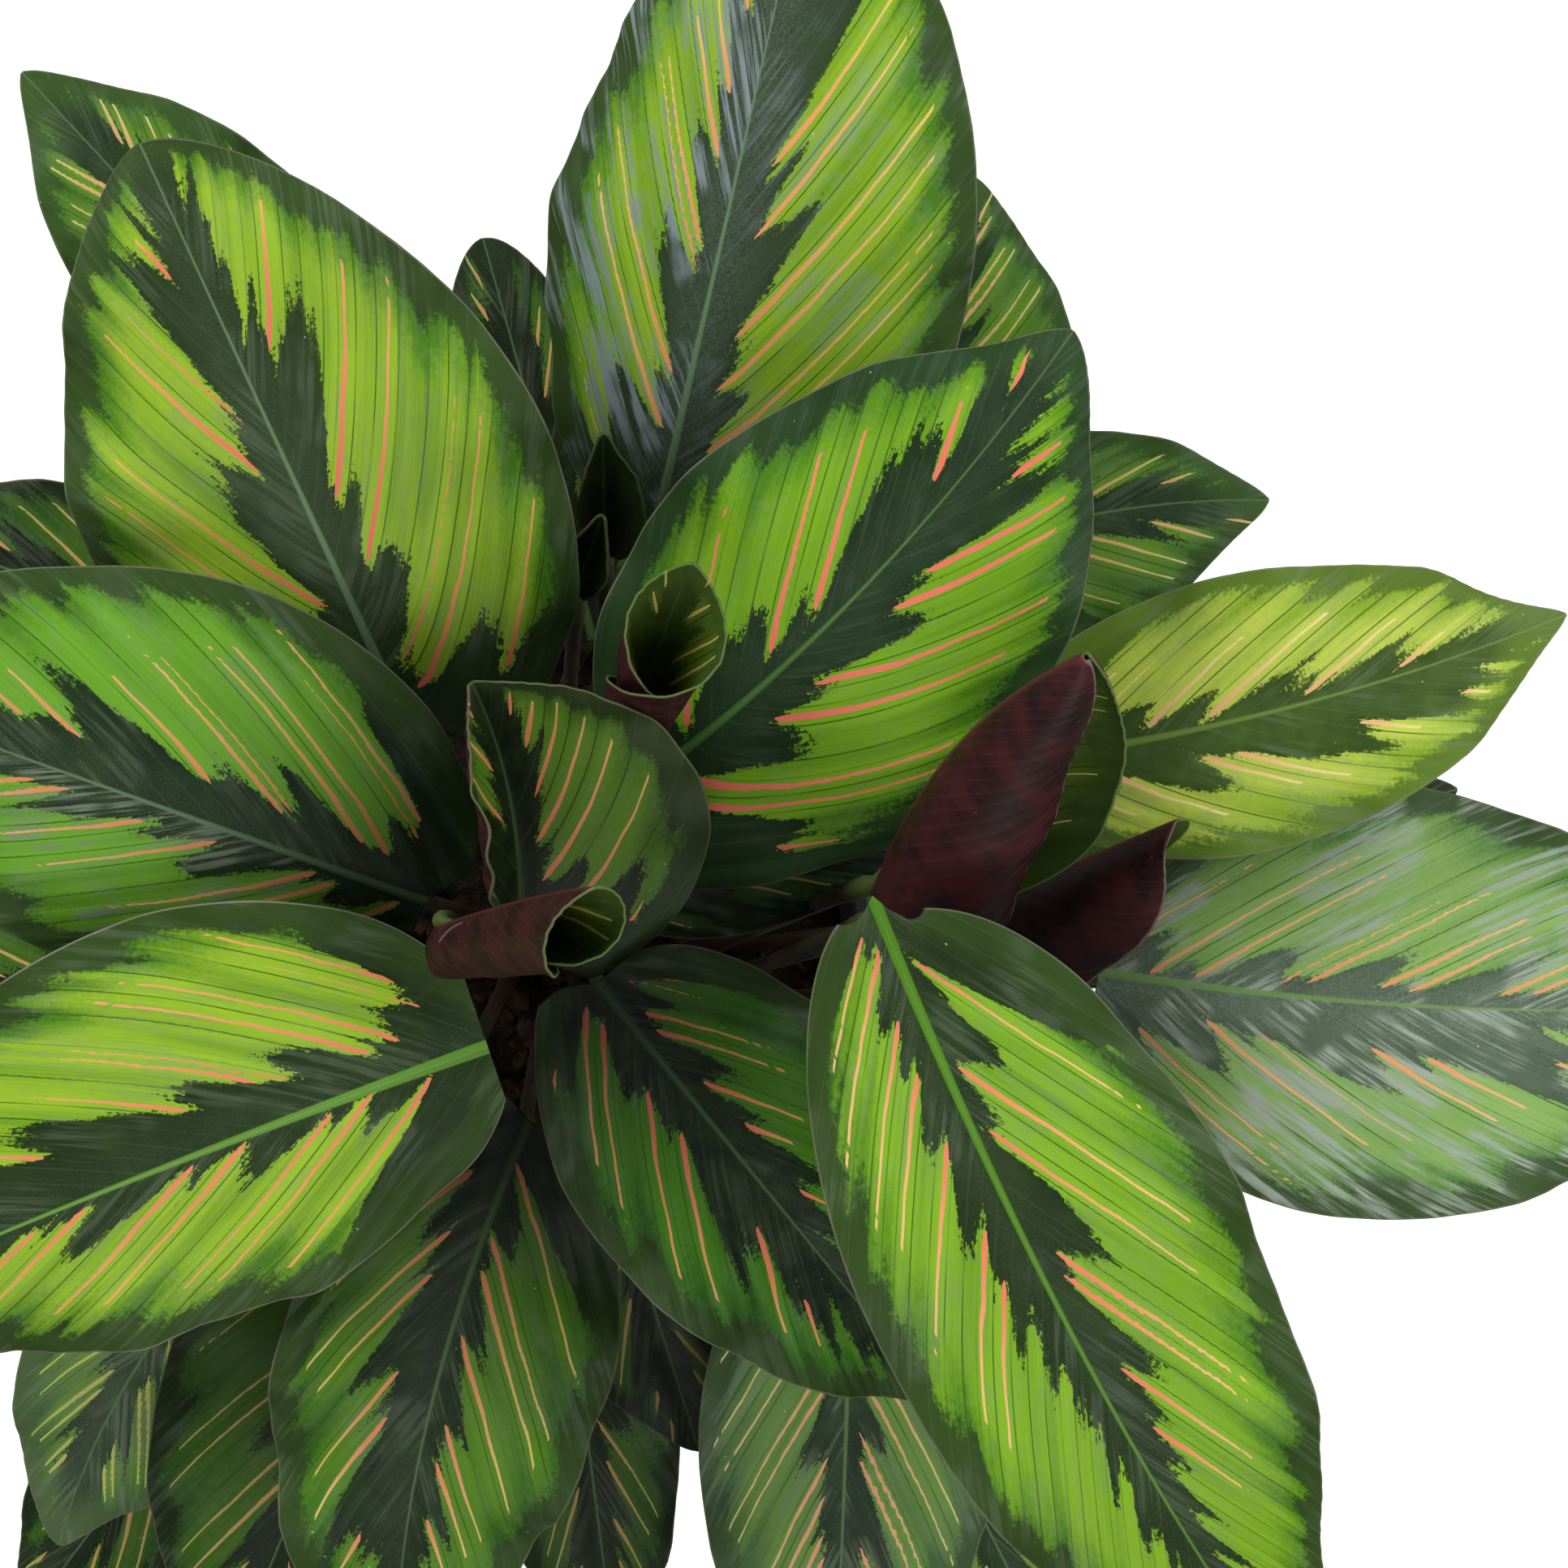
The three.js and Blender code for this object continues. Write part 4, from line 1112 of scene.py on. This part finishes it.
# What sets each tall leaf's paint apart from the common one.
TALL_LOOKS = {
    "leaf_north": dict(dark=(50, 66, 44), stripe_start=(224, 150, 98), stripe_end=(226, 186, 112),
        midrib=(96, 130, 92), film=(128, 140, 142), film_left=1.0, film_right=0.3, powder=0.2),
    "leaf_northeast": dict(dark=(31, 51, 28), margin=(42, 68, 34), lime=(120, 168, 28),
        stripe_start=(230, 118, 98), stripe_end=(226, 134, 100), stripe_width=1.1, midrib=(66, 112, 46),
        film_left=0.1, film_right=0.1),
    "leaf_northwest": dict(lime=(148, 184, 46), dark=(42, 60, 32), midrib=(98, 128, 92),
        midrib_width=1.4, powder=0.12),
    "leaf_west": dict(dark=(28, 44, 27), lime=(104, 158, 42), stripe_start=(206, 134, 88),
        stripe_end=(208, 162, 106), film_left=0.8, film_right=0.2, powder=0.12, midrib=(88, 116, 82)),
    "leaf_southwest": dict(lime=(150, 188, 44), midrib=(98, 152, 50), midrib_width=1.7,
        stripe_start=(226, 134, 96), rim=(160, 148, 138)),
    "leaf_south_southwest": dict(dark=(26, 40, 24), lime=(88, 134, 30), deep=(54, 100, 28),
        stripe_start=(220, 136, 96), stripe_end=(216, 188, 112), midrib=(66, 96, 52)),
    "leaf_south": dict(dark=(25, 38, 26), lime=(76, 134, 28), deep=(44, 92, 24), midrib=(60, 92, 52),
        film_left=0.15, film_right=0.15),
    "leaf_southeast": dict(lime=(128, 174, 38), midrib=(80, 136, 26), midrib_width=1.4,
        stripe_start=(226, 128, 94), stripe_end=(232, 184, 124)),
    "leaf_east": dict(dark=(86, 104, 84), lime=(136, 174, 92), deep=(84, 130, 58),
        stripe_start=(224, 156, 108), stripe_end=(228, 176, 128), film=(158, 170, 154), film_left=0.9,
        film_right=1.0, powder=0.25, midrib=(112, 152, 84)),
    "leaf_east_northeast": dict(dark=(58, 82, 32), margin=(94, 122, 40), lime=(184, 202, 80),
        deep=(132, 164, 44), stripe_start=(226, 176, 118), stripe_end=(230, 208, 140),
        midrib=(104, 136, 54), margin_band=3.5),
}

for name, row in TALL_LEAVES.items():
    leaf = {**PLAIN_LEAF, **row}
    lime_face = upper_face(name + " face", {**LIME_LOOK, **TALL_LOOKS[name]})
    grown = grow_leaf(name, leaf, TALL_CELLS, lime_face, purple_underside, stalk_look)
    settle(grown, name)


# Low leaves
# The shorter and older leaves under the crown, built like the tall ones. Their green is darker,
# partly their own older colour and partly painted shade for the less light they get, and their
# pinstripes are thin and cream.
LOW_CELLS = (48, 84)
LOW_LEAVES = {
    "dark_leaf_northeast": dict(root=(34, 30), base=(84, 86, 268), tip=(172, 104, 286), halves=(22, 32),
        sway=5, wave=(1.5, 3, 0), stripes=((26, 41, 56), (15, 30, 38, 55, 70)), paint="green",
        painted_shade=(0.5, 0.5)),
    "low_leaf_north_northeast": dict(root=(27, 34), base=(82, 102, 256), tip=(102, 185, 270),
        halves=(27, 38), wave=(1.5, 3, 0), paint="green", pair_gap=16),
    "low_leaf_northwest": dict(root=(-26, 34), base=(-51, 123, 270), tip=(-124, 201, 300),
        halves=(28, 31), paint="green", pair_gap=18),
    "low_leaf_north": dict(root=(-8, 40), base=(10, 72, 254), tip=(-17, 168, 272), halves=(24, 24),
        arch=6, wave=(1.5, 3, 0), foot=(0.6, 0.6), full=0.55, point=0),
    "low_leaf_west": dict(root=(-34, 14), base=(-75, 69, 262), tip=(-163, 98, 265), halves=(26, 26)),
    "low_leaf_far_west": dict(root=(-40, -1), base=(-92, -10, 232), tip=(-205, -16, 208),
        halves=(29, 31), sway=3, cup=(-12, -12), wave=(2, 3, 90)),
    "low_leaf_north_northwest": dict(root=(-20, 40), base=(-28, 96, 214), tip=(-46, 178, 196),
        halves=(25, 24), sway=2, cup=(-12, -12), wave=(2, 3, 30)),
    "low_leaf_east": dict(root=(46, -4), base=(101, 4, 238), tip=(226, 36, 248), halves=(28, 28)),
    "low_leaf_southwest": dict(root=(-28, -24), base=(-68, -64, 268), tip=(-121, -151, 235),
        halves=(28, 28), sway=-6, paint="silver", pair_gap=17, painted_shade=(0.5, 0.4)),
    "low_leaf_west_southwest": dict(root=(-36, -14), base=(-70, -90, 225), tip=(-134, -175, 205),
        halves=(25, 25), painted_shade_factor=0.8),
    "dark_leaf_southwest": dict(root=(-18, -32), base=(-31, -64, 275), tip=(-80, -183, 250),
        halves=(42, 42), painted_shade=(0.25, 0.8), painted_shade_factor=0.8),
    "dark_leaf_south": dict(root=(22, -34), base=(73, -69, 262), tip=(70, -202, 235), halves=(38, 36),
        paint="grey", pair_gap=20),
    "low_leaf_south_southeast": dict(root=(36, -32), base=(85, -101, 225), tip=(128, -185, 215),
        halves=(28, 28), paint="green"),
    "low_leaf_south": dict(root=(-6, -42), base=(2, -71, 225), tip=(17, -187, 200), halves=(24, 28),
        painted_shade_factor=0.7),
    "low_leaf_south_middle": dict(root=(8, -34), base=(12, -50, 255), tip=(37, -129, 235),
        halves=(25, 25), arch=6, painted_shade_factor=0.35),
    "inner_leaf_east": dict(root=(24, 2), base=(14, 9, 290), tip=(97, 31, 298), halves=(17, 17), arch=6,
        wave=(1.5, 3, 0), full=0.55, point=0, painted_shade_factor=0.25),
    "inner_leaf_southeast": dict(root=(20, -14), base=(38, -14, 258), tip=(100, -56, 246),
        halves=(7, 26), arch=6, wave=(1.5, 3, 0), painted_shade_factor=0.25),
}

DARK_LOOK = dict(
    LIME_LOOK, dark=(25, 38, 22), margin=(36, 54, 26), lime=(72, 112, 28), deep=(46, 86, 24),
    stripe_start=(204, 160, 98), stripe_end=(194, 182, 102), stripe_width=0.75, margin_band=3.5,
    wedge=0.8,
)
GREEN_LOOK = dict(
    LIME_LOOK, dark=(36, 56, 34), margin=(62, 92, 40), lime=(106, 150, 44), deep=(70, 114, 38),
    stripe_start=(216, 170, 114), stripe_end=(206, 196, 118), stripe_width=0.8, margin_band=4.0,
    wedge=0.8,
)
GREY_LOOK = dict(
    LIME_LOOK, dark=(38, 54, 38), margin=(66, 88, 54), lime=(106, 144, 66), deep=(66, 100, 58),
    stripe_start=(220, 156, 116), stripe_end=(210, 192, 124), stripe_width=0.8, film_left=0.5,
    film_right=0.5, margin_band=4.0, wedge=0.8,
)
SILVER_LOOK = dict(
    GREY_LOOK, dark=(48, 64, 46), margin=(84, 108, 64), stripe_start=(188, 182, 100),
    stripe_end=(184, 196, 100), powder=0.25,
)
low_looks = {"dark": DARK_LOOK, "green": GREEN_LOOK, "grey": GREY_LOOK, "silver": SILVER_LOOK}
low_faces = {kind: upper_face(kind + " pinstripe face", look) for kind, look in low_looks.items()}
for name, row in LOW_LEAVES.items():
    leaf = {**PLAIN_LEAF, **row}
    face = low_faces[leaf["paint"]]
    grown = grow_leaf(name, leaf, LOW_CELLS, face, purple_underside, stalk_look)
    settle(grown, name)


# Young leaves
# New leaves come up rolled into tubes and cones, with the wine underside outward, and open from
# the tip. One of them is already open and lies in the middle of the crown.
# roll turns a blade about its midrib, at its base and its tip, in degrees. bore is the radius of
# the tube that each half is wound into, at both ends.
YOUNG_CELLS = (60, 72)
YOUNG_SHAPE = dict(PLAIN_LEAF, arch=-3, wave=(0, 1, 0))
YOUNG_LEAVES = {
    "young_leaf_middle": dict(root=(-2, 8), base=(-7, 3, 348), tip=(-17, 53, 384), halves=(30, 43),
        lobe=(0, 14), sway=-3, roll=(0, -8), fold=(50, 8), cup=(60, -6), wave=(1, 2, 0), full=0.5,
        point=0, painted_shade=(0.5, 0.8), stripes=((-6, 20, 33, 46), (-22, -13, -4, 5, 13, 21, 30, 40)),
        begin=((3, 4), (4, 6)), end=((4, 4), (9, 9))),
    "bud_north": dict(root=(13, 30), base=(12, 87, 314), tip=(11.3, 111, 346), halves=(10, 12),
        fold=(10, 10), cup=(70, 50), painted_shade_factor=0.9),
    "bud_middle": dict(root=(2, 20), base=(5, 77.5, 320), tip=(11, 93.5, 337), halves=(11, 10),
        fold=(10, 10), cup=(80, 80), painted_shade_factor=0.9),
    "rolled_leaf_north": dict(root=(12, 3), base=(18, 36.5, 338), tip=(29.6, 77.5, 394),
        halves=(30, 42), lobe=(-6, -6), sway=2, fold=(0, 0), bore=((3, 11), (4, 13.5)), full=0.75,
        pair_gap=24, painted_shade_factor=0.9),
    "rolled_leaf_middle": dict(root=(-10, -2), base=(-24, 0.5, 368), tip=(9, 8.5, 432), halves=(28, 34),
        sway=1, roll=(90, 90), fold=(0, 0), bore=((5.5, 9.4), (4.5, 8.4)), foot=(0.5, 0.5)),
    "rolled_leaf_east": dict(root=(38, -5), base=(72.2, 8.5, 349), tip=(109.6, 57, 420),
        halves=(46, 44), sway=7, roll=(90, 90), fold=(0, 20), cup=(185, 100), foot=(0.97, 0.3),
        full=0.55, point=0, pair_gap=34),
    "rolled_leaf_southeast": dict(root=(42, -12), base=(89, 1, 312), tip=(136, 24, 375),
        halves=(37, 13), roll=(90, 90), fold=(0, 0), bore=((20, 8), (14, 7)), foot=(0.97, 0.9),
        full=0.35, point=0, pair_gap=40),
}

YOUNG_LOOK = dict(
    LIME_LOOK, dark=(24, 34, 18), margin=(48, 64, 30), lime=(88, 126, 30), deep=(58, 92, 22),
    vein=(40, 62, 20), stripe_start=(212, 128, 90), stripe_end=(212, 164, 100), stripe_width=0.75,
    midrib=(50, 70, 34), film_left=0.03, film_right=0.03, powder=0.0, rim=(110, 116, 84),
    margin_band=6.5,
)
ROLLED_LOOK = dict(
    YOUNG_LOOK, dark=(56, 72, 26), margin=(66, 90, 34), lime=(84, 108, 28), deep=(66, 90, 28),
    stripe_start=(190, 170, 92), stripe_end=(204, 190, 108), stripe_width=0.6, rim=(118, 138, 84),
)
BUD_LOOK = dict(
    YOUNG_LOOK, lime=(48, 84, 26), deep=(36, 62, 22), stripe_width=0, midrib=(60, 88, 40),
    rim=(90, 112, 66),
)
young_faces = {"young": upper_face("young pinstripe face", YOUNG_LOOK),
               "rolled": upper_face("rolled leaf face", ROLLED_LOOK),
               "bud": upper_face("bud face", BUD_LOOK)}
for name, row in YOUNG_LEAVES.items():
    leaf = {**YOUNG_SHAPE, **row}
    face = young_faces[name.split("_")[0]]
    grown = grow_leaf(name, leaf, YOUNG_CELLS, face, purple_underside, stalk_look)
    settle(grown, name)
